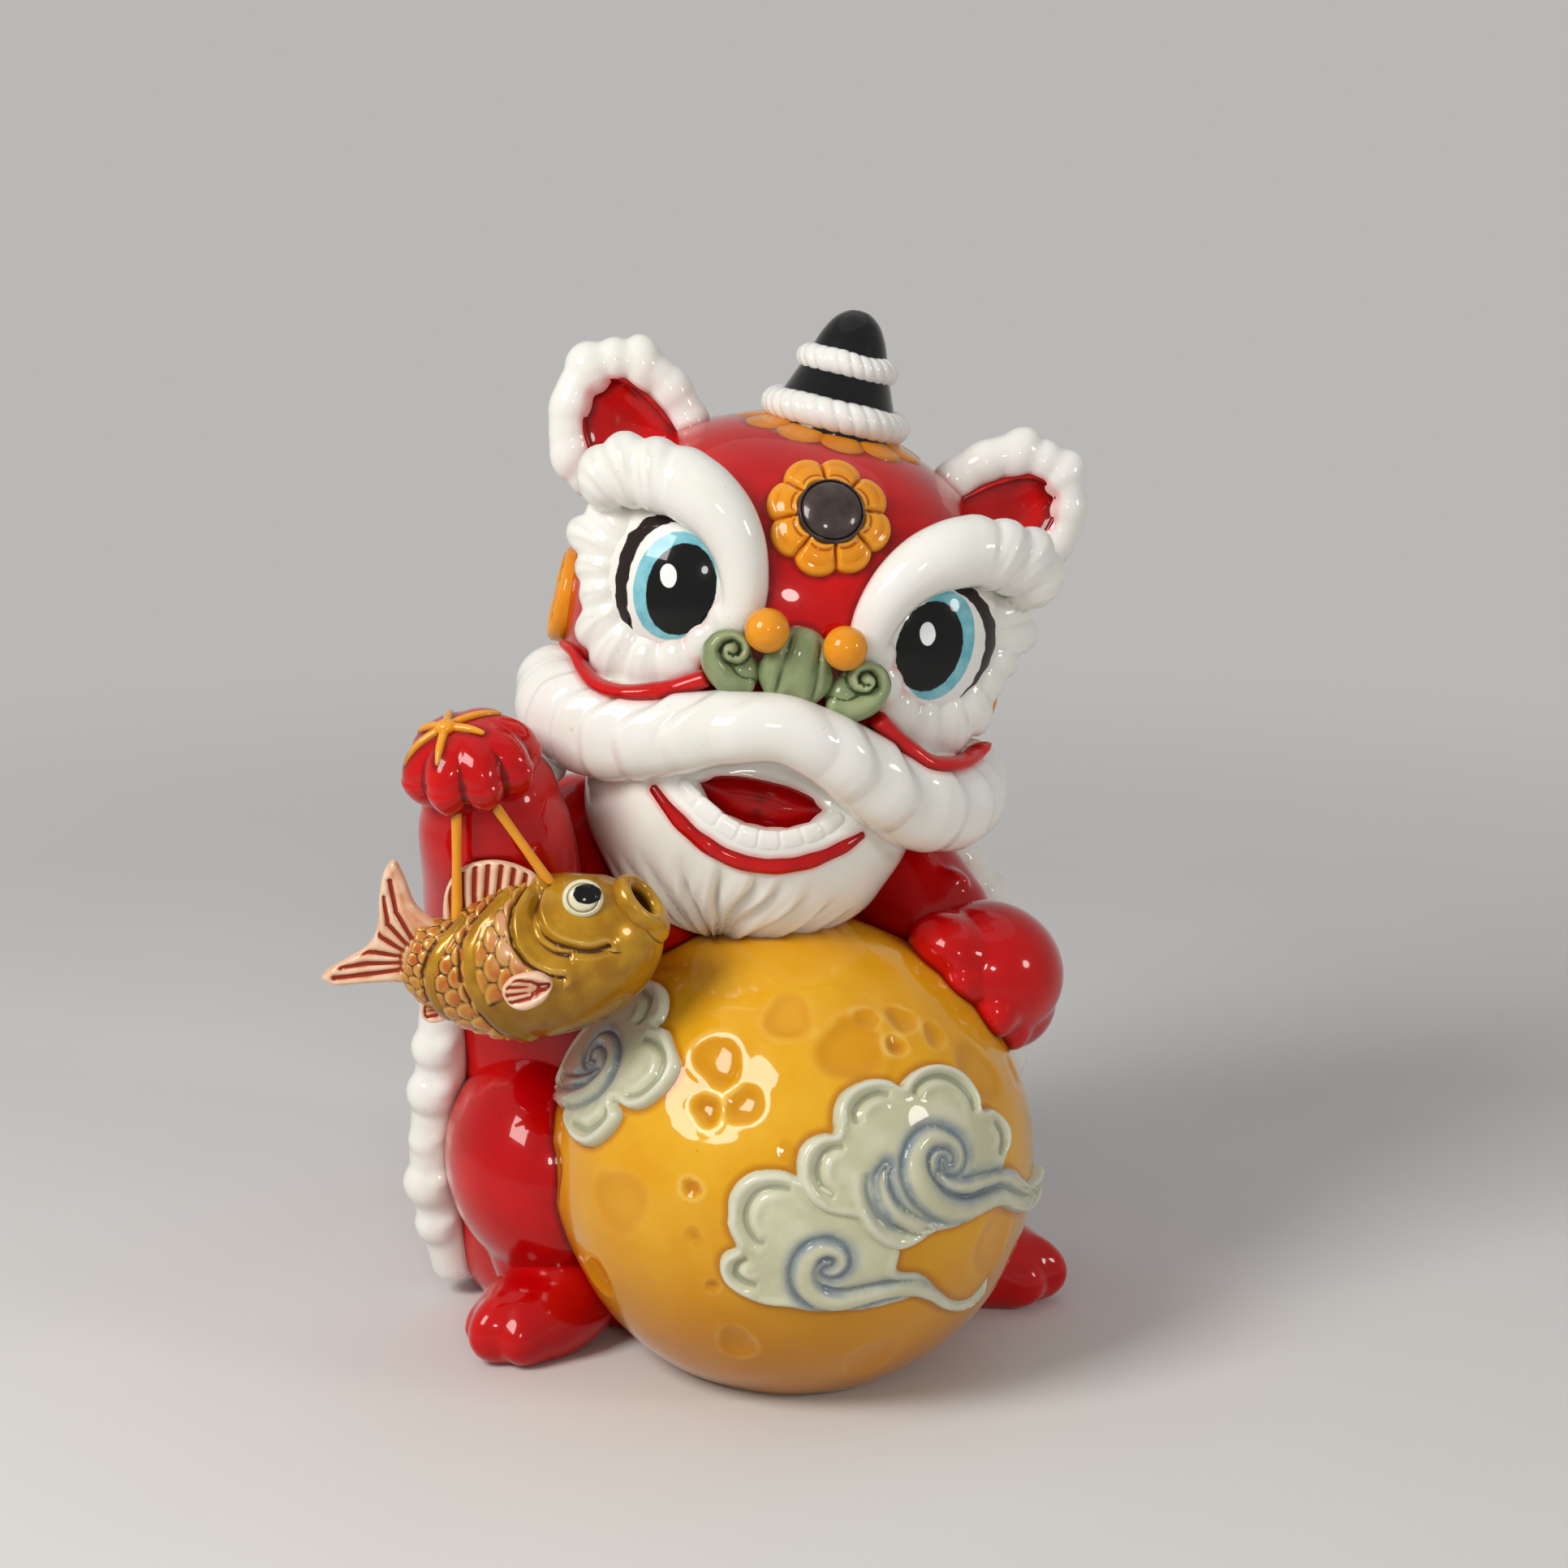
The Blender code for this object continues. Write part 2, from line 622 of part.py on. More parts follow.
def on_head(x, z, lift=0.0):
    """The point of the head's front surface at this width and height, moved outwards by lift."""
    low, high = 0.0, DRAWN_HALF_DEPTH
    for _ in range(40):
        middle = (low + high) / 2
        point = Vector((x, -middle, z))
        inside = point.length < head_direction(point.normalized()).length
        low, high = (middle, high) if inside else (low, middle)
    return np.array([x, -low - lift, z])


def make_head(frame):
    return seat(add("head", globe(head_direction, 20, 12), "red", frame))


def hollow_head(head, frame):
    scale = 1 - WALL / HEAD_HALF_HEIGHT
    cavity = add("head_cavity", globe(lambda d: head_direction(d) * scale, 14, 10), None, frame)
    low = -HEAD_HALF_HEIGHT - 9
    profile = [(0, low), (NECK_BORE_RADIUS, low), (NECK_BORE_RADIUS, -20), (0, -20)]
    neck = turned(profile, 14, (0, 16, 0))
    combine(head, [cavity, add("head_neck", neck, None, frame)], "DIFFERENCE")


def make_jaw(frame):
    """The bearded lower jaw with its mouth hollow, and what lies in the mouth."""
    jaw = add("beard", ellipsoid((0, -20, -39), (35, 29, 29), (-8, 0, 0), 16, 10), "white", frame)
    hollow = add("mouth", ellipsoid((0, -47, -35), (14.5, 13, 6.5), (-12, 0, 0), 12, 8), None, frame)
    combine(jaw, [hollow], "DIFFERENCE")
    lining = ellipsoid((0, -39.5, -36), (13.2, 4.6, 5.6), (-12, 0, 0), 10, 7)
    seat(add("mouth_lining", lining, "red", frame))
    seat(jaw)
    smile = [(x, -49.8 + 0.012 * x * x, -47.5 + 0.021 * x * x, PIPING_RADIUS)
             for x in (-22, -14, -5, 5, 14, 22)]
    seat(add("lower_lip", roll(smile, 10, 6), "red", frame))
    gums = [(x, -49.2 + 0.016 * x * x, -43.2 + 0.026 * x * x, 2.6) for x in (-16, -9, 0, 9, 16)]
    seat(add("lower_teeth", roll(gums, 12, 5, 6, 0.16), "white", frame))
    return jaw


def hollow_jaw(jaw, frame):
    cavity = add("jaw_cavity", ellipsoid((0, -9, -35), (26, 18, 20), segments=12, rings=8), None, frame)
    combine(jaw, [cavity], "DIFFERENCE")


# Half of each face roll, for the lion's left side, as (x, y, z, share of the radius)
MOUSTACHE_STATIONS = ((0, -52.5, -19, 0.58), (12, -50.5, -21.5, 0.63), (23, -44.5, -25.5, 0.8),
                      (33, -36, -27.8, 0.97), (42, -26, -26.5, 1.0), (46, -16, -23, 0.64))
BROW_STATIONS = ((14.5, -47, 3, 0.77), (17.5, -47, 12, 0.88), (22, -46, 19, 0.96),
                 (28.5, -43.5, 24.8, 1.0), (36.5, -39, 26, 1.0), (43.5, -33.5, 21.5, 0.93))
CHEEK_FUR_STATIONS = ((46, -31, 14, 0.95), (45, -31, 4, 0.95), (41, -34, -5, 1.0), (34, -38.5, -9.5, 1.0),
                      (26, -42.5, -9.5, 0.95), (19, -46, -4.5, 0.8), (15, -47.5, 1, 0.7))
PIPING_STATIONS = ((48, -24, -9), (44.5, -32, -15.5), (37, -40, -19), (28, -45, -19), (19, -49, -14))


def face_path(stations, radius, side):
    return [(side * x, y, z, radius * share) for x, y, z, share in stations]


def make_face(frame):
    for name, side in SIDES.items():
        piping = [(side * x, y, z, PIPING_RADIUS) for x, y, z in PIPING_STATIONS]
        seat(add(name + "_cheek_piping", roll(piping, 9, 6), "red", frame))
    whole = [*face_path(MOUSTACHE_STATIONS, MOUSTACHE_RADIUS, -1)[:0:-1],
             *face_path(MOUSTACHE_STATIONS, MOUSTACHE_RADIUS, 1)]
    seat(add("moustache", roll(whole, 21, 8, 10, 0.12), "white", frame))
    for name, side in SIDES.items():
        brow = face_path(BROW_STATIONS, BROW_RADIUS, side)
        cheek = face_path(CHEEK_FUR_STATIONS, CHEEK_FUR_RADIUS, side)
        ring = [station[:3] for station in brow + cheek]
        outward = (side * math.sin(math.radians(25)), -math.cos(math.radians(25)), 0.05)
        eye = pad(ring, outward, ((0, -9), (0.85, -9), (0.92, -1.5), (0.75, 1.2), (0.4, 2.4), (0, 2.8)))
        seat(add(name + "_eye", eye, "white", frame))
        backing = pad(ring, outward, ((0, -17), (0.6, -17), (1.06, -7), (1.08, -1.5), (0, -1.5)))
        rolls = [roll(brow, 10, 7, 4, 0.16), roll(cheek, 12, 7)]
        seat(fused(name + "_eye_fur", [backing, *rolls], "white", frame))


def make_nose(frame):
    folds = ((0, (4.9, 6.6, 7.4)), (-6.3, (3.0, 5.6, 6.6)), (6.3, (3.0, 5.6, 6.6)))
    ribs = [ellipsoid((x, -50, -6.2 - 0.05 * abs(x)), size, segments=10, rings=7) for x, size in folds]
    seat(fused("nose_bridge", ribs, "jade", frame))
    for name, side in SIDES.items():
        profile = [(0, -4.5), (6.0, -4.5), (6.6, 0), (5.4, 3.6), (2.2, 4.0), (1.8, 2.4), (0, 2.4)]
        curl = turned(profile, 11, (side * 13.8, -49.5, -8), (90, 0, side * 12))
        seat(add(name + "_nose_curl", curl, "jade", frame))
    for name, side in SIDES.items():
        bead = ellipsoid((side * 8.2, -53.5, 0.6), (BEAD_RADIUS,) * 3, segments=10, rings=7)
        seat(add(name + "_nose_bead", bead, "amber", frame))


def make_flower(frame):
    """The forehead blossom with its mirror boss, and the two discs over the ears' roots."""
    centre = on_head(0, 25)
    lean = (64, 0, 0)
    place = Matrix.LocRotScale(Vector(centre), Euler(map(math.radians, lean)), None)
    profile = [(0, -2), (MIRROR_RADIUS, -2), (MIRROR_RADIUS, 3.0), (MIRROR_RADIUS * 0.8, 4.4), (0, 5.0)]
    mirror = turned(profile, 14)
    bmesh.ops.transform(mirror, matrix=place, verts=mirror.verts)
    seat(add("forehead_mirror", mirror, "bronze", frame))
    axis = place.to_3x3() @ Vector((0, 0, 1))
    edge = [place @ Vector((x, y, 0)) for x, y in scallops(FLOWER_PETALS, FLOWER_RADIUS)]
    rows = ((0, -3), (0.9, -3), (1.0, -0.5), (0.97, 1.2), (0.85, 2.6), (0.68, 2.6), (0, 2.4))
    seat(add("forehead_flower", pad(edge, axis, rows), "amber", frame))
    for name, side in SIDES.items():
        profile = [(0, -4), (DISC_RADIUS, -4), (DISC_RADIUS, 1), (DISC_RADIUS * 0.75, 3),
                   (DISC_RADIUS * 0.4, 2.2), (0, 3.6)]
        disc = turned(profile, 16, (side * (HEAD_HALF_WIDTH - 0.5), 0, -6), (0, side * 90, 0))
        seat(add(name + "_cheek_disc", disc, "amber", frame))


def make_horn(frame):
    spot = (0.5, -6, HEAD_HALF_HEIGHT - 2.5)
    top = HORN_HEIGHT
    horn = turned([(0, 0), (HORN_BASE_RADIUS, 0), (HORN_BASE_RADIUS * 0.86, top * 0.25),
                   (HORN_BASE_RADIUS * 0.64, top * 0.55), (HORN_BASE_RADIUS * 0.48, top * 0.78),
                   (HORN_BASE_RADIUS * 0.26, top * 0.94), (0, top)], 12, spot)
    seat(add("horn", horn, "black", frame))
    low = turned([(0, 1.4), (14.8, 1.4), (16.4, 4.4), (14.8, 7.8), (0, 7.8)], 14, spot)
    seat(add("horn_lower_band", low, "white", frame))
    high = turned([(0, 12.8), (10.4, 12.8), (11.6, 15.4), (10.0, 18.2), (0, 18.2)], 12, spot)
    seat(add("horn_upper_band", high, "white", frame))
    collar = turned([(0, -5), (17, -5), (20, 0), (14, 3.4), (0, 3.4)], 16, spot)
    seat(add("horn_petal_collar", collar, "amber", frame))


# The left ear's edge, as (x, z)
EAR_EDGE = ((26, 36), (32, 41.5), (38.5, 47), (45, 51), (51.5, 49.5), (56.5, 43.5), (58.5, 36), (57, 28),
            (53, 20.5), (46, 17), (37, 20), (29, 28))


def make_ears(frame):
    for name, side in SIDES.items():
        edge = [(side * x, 0.5, z) for x, z in EAR_EDGE]
        half = EAR_THICKNESS / 2
        front = (side * 0.1, -1, 0.12)
        rows = ((0, -0.5), (0.5, -0.5), (0.6, 2.0), (0.5, half + 0.4), (0, half - 0.6))
        lining = pad(edge, front, rows)
        seat(add(name + "_ear_lining", lining, "red", frame))
        rows = ((0, -half), (0.6, -half), (0.93, -half * 0.7), (1.0, 0), (0.93, half * 0.8),
                (0.76, half + 0.8), (0.62, half), (0, half - 1))
        seat(add(name + "_ear", pad(edge, front, rows), "white", frame))


# Carp and its cords; places are offsets from the raised wrist

FISH_STATIONS = ((-20, -9, -27.5, 0.38), (-12, -11, -30.5, 0.66), (-2, -14, -31, 0.93),
                 (8, -17, -29, 1.0), (16.5, -20, -25.5, 0.93), (23, -23, -21.5, 0.66))
TAIL_FIN = ((4, 5.5), (0, 12), (-2.4, 19.3), (-5.5, 16), (-7, 9), (-9, 4), (-13, 0), (-17.5, -3.8),
            (-13.2, -6), (-7, -5.5), (-1, -5), (5, -3))
DORSAL_FIN = ((-9, -5), (-7.5, 4), (-4.5, 7.5), (1, 8.6), (6.5, 6), (10, 0), (10, -5))
PECTORAL_FIN = ((5.5, 4), (-1, 3.4), (-5.5, 1.2), (-5, -2.2), (-1.5, -4), (3, -2.4), (6, 1.5))
ANAL_FIN = ((5, 4), (-4, 2), (-4.2, -1.2), (-1, -2.6), (4, -0.8))


def from_wrist(x, y, z):
    return Vector(RAISED_WRIST + (x, y, z))


def fin(name, outline, spot, thickness):
    heading = Matrix.Rotation(math.radians(-14), 4, "Z")
    place = Matrix.Translation(from_wrist(*spot)) @ heading
    seat(add(name, plate(outline, thickness, place), "gold"))


def make_fish():
    path = [(*from_wrist(x, y, z), FISH_GIRTH * share) for x, y, z, share in FISH_STATIONS]
    body = roll(path, 13, 12)
    across = Vector((math.sin(math.radians(18)), math.cos(math.radians(18)), 0))
    centre = from_wrist(4, -15, -28)
    flatter = Matrix.Scale(FISH_FLATNESS, 4, across)
    squeeze = Matrix.Translation(centre) @ flatter @ Matrix.Translation(-centre)
    bmesh.ops.transform(body, matrix=squeeze, verts=body.verts)
    seat(add("carp_body", body, "gold"))
    lips = turned([(0, -4), (5.2, -4), (6.2, 0.2), (5.2, 2.4), (3.4, 1.6), (2.6, 0.2), (0, 0.2)], 12)
    place = facing(from_wrist(25.5, -26.5, -17.5), (0.7, -0.45, 0.55))
    bmesh.ops.transform(lips, matrix=place, verts=lips.verts)
    seat(add("carp_lips", lips, "gold"))
    eye = ellipsoid(from_wrist(12.2, -26.5, -14.7), (4.2, 2.8, 3.9), (20, 0, 18), 12, 7)
    seat(add("carp_eye", eye, "white"))
    fin("carp_tail", TAIL_FIN, (-20, -9.5, -28), 3.4)
    fin("carp_dorsal_fin", DORSAL_FIN, (-3.5, -14, -17.5), 2.8)
    fin("carp_pectoral_fin", PECTORAL_FIN, (0.5, -28, -32), 3.2)
    fin("carp_anal_fin", ANAL_FIN, (-13.5, -12, -40), 3.0)


def cord(name, ends):
    seat(add(name, roll([(*from_wrist(*end), CORD_RADIUS) for end in ends], 2, 8), "amber"))


def make_cords():
    back_of_fish = FISH_GIRTH * 2 / 3 - 30.8
    cord("rear_carp_cord", ((-10.8, -15, 4), (-10.8, -13, back_of_fish)))
    cord("front_carp_cord", ((-5, -18, 6), (8, -19, -14)))
    top = PAW_RADIUS * 0.7
    knot_at = RAISED_PALM + (-1, 1, top * 0.93)
    strands = [ellipsoid(knot_at, (2.8, 2.8, 2.0), segments=8, rings=6)]
    for angle in (20, 95, 165, 235, 300):
        lon = math.radians(angle)
        spots = []
        for reach, radius in ((0, 1.5), (4, 1.4), (7.5, 1.3), (10.5, 1.1)):
            drop = top * (1 - math.sqrt(1 - (reach / PAW_RADIUS) ** 2))
            spots.append((*(knot_at + (reach * math.cos(lon), reach * math.sin(lon), -drop)), radius))
        strands.append(roll(spots, 4, 5))
    seat(fused("paw_cord_knot", strands, "amber"))


def main():
    for thing in list(bpy.data.objects):
        remove(thing)
    frame = bpy.data.objects.new("head_pose", None)
    frame.location = [c * MM for c in HEAD_CENTRE]
    frame.rotation_euler = [math.radians(angle) for angle in HEAD_TURN]
    frame.scale = (1.0, HEAD_HALF_DEPTH / DRAWN_HALF_DEPTH, 1.0)
    bpy.context.scene.collection.objects.link(frame)
    bpy.context.view_layer.update()
    moon = make_moon()
    torso = make_torso()
    make_legs()
    make_arms()
    make_paws()
    head = make_head(frame)
    jaw = make_jaw(frame)
    make_nose(frame)
    make_face(frame)
    make_flower(frame)
    make_horn(frame)
    make_ears(frame)
    make_fish()
    make_cords()
    make_clouds()
    make_cape_trim()
    hollow_moon(moon)
    hollow_torso(torso, outsides[0])
    hollow_head(head, frame)
    hollow_jaw(jaw, frame)
    for outside in outsides:
        remove(outside)


main()
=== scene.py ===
"""The glazed ceramic lion: every luted piece is shaped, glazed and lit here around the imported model.

Shapes are worked out in millimetres and made in metres. The lion faces -Y and +Z is up. Pieces of the
head are shaped in the head's own frame (X to the lion's left, Y to its back, Z to its crown).
"""

import math

import bmesh
import bpy
import numpy as np
from mathutils import Euler, Matrix, Vector
from mathutils.bvhtree import BVHTree


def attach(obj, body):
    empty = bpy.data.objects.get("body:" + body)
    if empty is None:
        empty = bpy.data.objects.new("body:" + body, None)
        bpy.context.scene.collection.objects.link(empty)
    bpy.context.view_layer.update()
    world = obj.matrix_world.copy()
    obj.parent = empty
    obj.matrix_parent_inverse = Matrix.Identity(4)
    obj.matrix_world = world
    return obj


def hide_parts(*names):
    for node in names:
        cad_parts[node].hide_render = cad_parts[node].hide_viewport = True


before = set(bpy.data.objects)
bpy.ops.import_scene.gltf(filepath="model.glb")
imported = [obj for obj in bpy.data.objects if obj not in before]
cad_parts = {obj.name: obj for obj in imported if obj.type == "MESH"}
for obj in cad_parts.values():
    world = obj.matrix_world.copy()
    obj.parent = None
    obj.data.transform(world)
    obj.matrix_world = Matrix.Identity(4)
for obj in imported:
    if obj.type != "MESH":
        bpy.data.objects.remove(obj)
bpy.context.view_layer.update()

MM = 0.001
SIDES = {"right": -1, "left": 1}
MOON_CENTRE = np.array([0.0, -32.0, 45.0])
MOON_RADIUS = 52.0
# The photo's camera: pixels across, lens and sensor in millimetres, focal length in pixels, turn and rise in
# degrees, distance from the moon in millimetres, and the pixel that shows the moon's middle
PHOTO_PIXELS = 1932
PHOTO_LENS, PHOTO_SENSOR = 85, 36
PHOTO_FOCAL = PHOTO_LENS / PHOTO_SENSOR * PHOTO_PIXELS
PHOTO_TURN = -18
PHOTO_RISE = 14
PHOTO_DISTANCE = 800
MOON_PIXEL = (977, 1420)
WRIST = np.array([-64.0, -27.0, 127.0])
PALM = WRIST + (-6, -8, 11)
BODY_X, TORSO_HEIGHT, TORSO_BACK = -4.0, 124.0, 66.0
HEAD_PLACE = Matrix.LocRotScale(Vector((7.4, -1.6, 157.0)),
                                Euler([math.radians(a) for a in (-5.7, 13.9, -14.2)]), None)
HEAD_SIZE = np.array([47.0, 48.0, 43.0])
HEAD_SQUARENESS = 2.25


# Small sums


def unit(vectors):
    vectors = np.asarray(vectors, float)
    return vectors / np.linalg.norm(vectors, axis=-1, keepdims=True)


def ease(value, low, high):
    share = np.clip((value - low) / (high - low), 0, 1)
    return share * share * (3 - 2 * share)


def turned_by(matrix, points):
    matrix = np.array(matrix)
    return np.asarray(points, float) @ matrix[:3, :3].T + matrix[:3, 3]


def in_head(points):
    return turned_by(HEAD_PLACE, points)


def place_in_head(thing):
    """Move a piece that was shaped in the head's own frame to where the head is."""
    place_points(thing, in_head(points_of(thing)))


def through(stations, count, closed=False):
    """Smooth curve through rows of numbers; also the place along it, in stations."""
    rows = np.array(stations, float)
    if closed:
        padded = np.vstack([rows[-1:], rows, rows[:2]])
        place = np.arange(count) * len(rows) / count
    else:
        padded = np.vstack([2 * rows[0] - rows[1], rows, 2 * rows[-1] - rows[-2]])
        place = np.linspace(0, len(rows) - 1, count)
    first = np.minimum(place.astype(int), len(padded) - 4)
    t = (place - first)[:, None]
    a, b, c, d = (padded[first + k] for k in range(4))
    curve = 0.5 * (2 * b + (c - a) * t + (2 * a - 5 * b + 4 * c - d) * t**2 + (3 * b - a - 3 * c + d)
                   * t**3)
    return curve, place


def to_line(u, v, line):
    """Distance from points to an open polyline in a plane, and the share along it of the nearest spot."""
    line = np.asarray(line, float)
    best = np.full(np.shape(u), 1e9)
    along = np.zeros(np.shape(u))
    for k, (start, end) in enumerate(zip(line[:, :2], line[1:, :2])):
        run = end - start
        t = np.clip(((u - start[0]) * run[0] + (v - start[1]) * run[1]) / (run @ run), 0, 1)
        gap = np.hypot(u - start[0] - t * run[0], v - start[1] - t * run[1])
        closer = gap < best
        best = np.where(closer, gap, best)
        along = np.where(closer, k + t, along)
    return best, along


def inside_outline(u, v, outline):
    """Distance to a closed outline in a plane, positive inside it."""
    outline = np.asarray(outline, float)
    best = np.full(np.shape(u), 1e9)
    crossings = np.zeros(np.shape(u), int)
    for start, end in zip(outline, np.roll(outline, -1, axis=0)):
        run = end - start
        t = np.clip(((u - start[0]) * run[0] + (v - start[1]) * run[1]) / max(run @ run, 1e-12), 0, 1)
        best = np.minimum(best, np.hypot(u - start[0] - t * run[0], v - start[1] - t * run[1]))
        spans = (start[1] > v) != (end[1] > v)
        rise = end[1] - start[1] if abs(end[1] - start[1]) > 1e-12 else 1e-12
        crossings += spans & (u < start[0] + (v - start[1]) * run[0] / rise)
    return np.where(crossings % 2 == 1, best, -best)


def waves(points, size, seed=1.0):
    """Cheap smooth waviness from -1 to 1, for large surfaces."""
    rng = np.random.default_rng(int(seed * 10))
    total = 0
    for _ in range(7):
        direction = unit(rng.normal(size=3)) * math.tau / (size * rng.uniform(0.8, 2.2))
        total = total + np.sin(points @ direction + rng.uniform(0, math.tau))
    return total / 4


# Meshes


def points_of(thing):
    found = np.empty(len(thing.data.vertices) * 3, np.float32)
    thing.data.vertices.foreach_get("co", found)
    return found.reshape(-1, 3).astype(float) / MM


def place_points(thing, points):
    thing.data.vertices.foreach_set("co", (np.asarray(points) * MM).astype(np.float32).ravel())
    thing.data.update()


def outward(thing):
    form = bmesh.new()
    form.from_mesh(thing.data)
    bmesh.ops.recalc_face_normals(form, faces=form.faces)
    form.to_mesh(thing.data)
    form.free()
    thing.data.update()
    return thing


def solid(name, points, faces):
    """A piece from points in millimetres and faces."""
    mesh = bpy.data.meshes.new(name)
    mesh.from_pydata((np.asarray(points) * MM).tolist(), [], [tuple(face) for face in faces])
    made = bpy.data.objects.new(name, mesh)
    bpy.context.scene.collection.objects.link(made)
    return outward(made)


def only(*things):
    bpy.ops.object.select_all(action="DESELECT")
    for thing in things:
        thing.select_set(True)
    bpy.context.view_layer.objects.active = things[0]


def globe(name, level, shape):
    """A round primitive whose unit directions are moved by a function."""
    bpy.ops.object.select_all(action="DESELECT")
    bpy.ops.mesh.primitive_ico_sphere_add(subdivisions=level, radius=1)
    made = bpy.context.object
    made.name = made.data.name = name
    place_points(made, shape(unit(points_of(made))))
    return made


def lump(centre, half, turn=(0, 0, 0), level=4, matrix=None):
    """An ellipsoid, to be melted into a piece."""
    place = Matrix.LocRotScale(Vector(centre), Euler([math.radians(a) for a in turn]), Vector(half))
    if matrix is not None:
        place = matrix @ place
    return globe("lump", level, lambda d: turned_by(place, d))


def facing(spot, direction):
    """A frame at a spot whose Z points along a direction."""
    return Matrix.Translation(Vector(spot)) @ Vector(direction).to_track_quat("Z", "Y").to_matrix().to_4x4()


def use(thing, kind, **settings):
    """Adds a modifier and applies it."""
    modifier = thing.modifiers.new(kind.lower(), kind)
    for name, value in settings.items():
        setattr(modifier, name, value)
    only(thing)
    bpy.ops.object.modifier_apply(modifier=modifier.name)


def smooth(thing, rounds):
    use(thing, "SMOOTH", factor=0.5, iterations=rounds)


def melt(name, parts, grain=0.5, softness=6):
    """Joins lumps of clay into one piece and smooths it as a wet sponge does."""
    only(*parts)
    if len(parts) > 1:
        bpy.ops.object.join()
    made = parts[0]
    made.name = made.data.name = name
    use(made, "REMESH", mode="VOXEL", voxel_size=grain * MM)
    use(made, "SMOOTH", factor=0.5, iterations=softness)
    return made


def tube_faces(rows, columns, closed):
    row = np.arange(rows if closed else rows - 1)[:, None]
    column = np.arange(columns)[None, :]
    after = (column + 1) % columns
    below = (row + 1) % rows
    corners = [row * columns + column, row * columns + after, below * columns + after,
               below * columns + column]
    return np.stack([np.broadcast_to(c, (len(row), columns)) for c in corners], -1).reshape(-1, 4).tolist()


def loft(name, grid):
    """A closed piece from rings of points, ended by a point at each end."""
    rows, columns = grid.shape[:2]
    poles = np.array([grid[0].mean(0), grid[-1].mean(0)])
    faces = tube_faces(rows, columns, False)
    last = rows * columns
    for k in range(columns):
        after = (k + 1) % columns
        faces.append((k, after, last))
        faces.append(((rows - 1) * columns + k, (rows - 1) * columns + after, last + 1))
    return solid(name, np.vstack([grid.reshape(-1, 3), poles]), faces)


def sections(centres, tangents, front, half_width, half_depth, theta):
    """Elliptical sections square to a path; angle 0 faces the front direction."""
    front = np.broadcast_to(np.asarray(front, float), centres.shape)
    ahead = unit(front - tangents * (front * tangents).sum(-1, keepdims=True))
    across = np.cross(tangents, ahead)
    return (centres[:, None] + ahead[:, None] * (half_depth * np.cos(theta))[..., None]
            + across[:, None] * (half_width * np.sin(theta))[..., None])


def roll(name, stations, rings=160, sides=64, front=(0, -1, 0), relief=None, blunt=0.9, caps=10):
    """A round-ended roll along (x, y, z, radius[, depth]) stations; relief(place, angle) is cut off in mm."""
    path, place = through(stations, rings)
    centres, width = path[:, :3], path[:, 3]
    depth = path[:, 4] if path.shape[1] > 4 else width
    tangents = unit(np.gradient(centres, axis=0))
    cap = np.linspace(0, 1, caps, endpoint=False)[1:]
    bend = np.sin(cap * math.pi / 2)
    narrow = np.cos(cap * math.pi / 2)
    starts = centres[0] - tangents[0] * (bend * width[0] * blunt)[::-1, None]
    ends = centres[-1] + tangents[-1] * (bend * width[-1] * blunt)[:, None]
    full = np.vstack([starts, centres, ends])
    lead = len(cap)
    directions = np.vstack([np.repeat(tangents[:1], lead, 0), tangents, np.repeat(tangents[-1:], lead, 0)])
    shrink = np.concatenate([narrow[::-1], np.ones(rings), narrow])
    width = np.concatenate([np.full(lead, width[0]), width, np.full(lead, width[-1])])
    depth = np.concatenate([np.full(lead, depth[0]), depth, np.full(lead, depth[-1])])
    place = np.concatenate([np.full(lead, place[0]), place, np.full(lead, place[-1])])
    theta = np.arange(sides) * math.tau / sides
    cut = relief(place[:, None], theta[None, :]) if relief else 0
    half_width = (width[:, None] - cut) * shrink[:, None]
    half_depth = (depth[:, None] - cut) * shrink[:, None]
    return loft(name, sections(full, directions, front, half_width, half_depth, theta[None, :]))


def creases(place, inward, lines):
    """How deep the creases between locks are cut: steep on the near side, easy on the far side of each line.

    Each line is (place, depth, lean, width)."""
    cut = 0.0
    for spot, depth, lean, width in lines:
        gap = place - spot - lean * inward
        share = np.where(gap > 0, gap / (1.5 * width), -gap / (0.55 * width))
        cut = np.maximum(cut, depth * np.clip(1 - share, 0, 1) ** 1.6)
    return cut


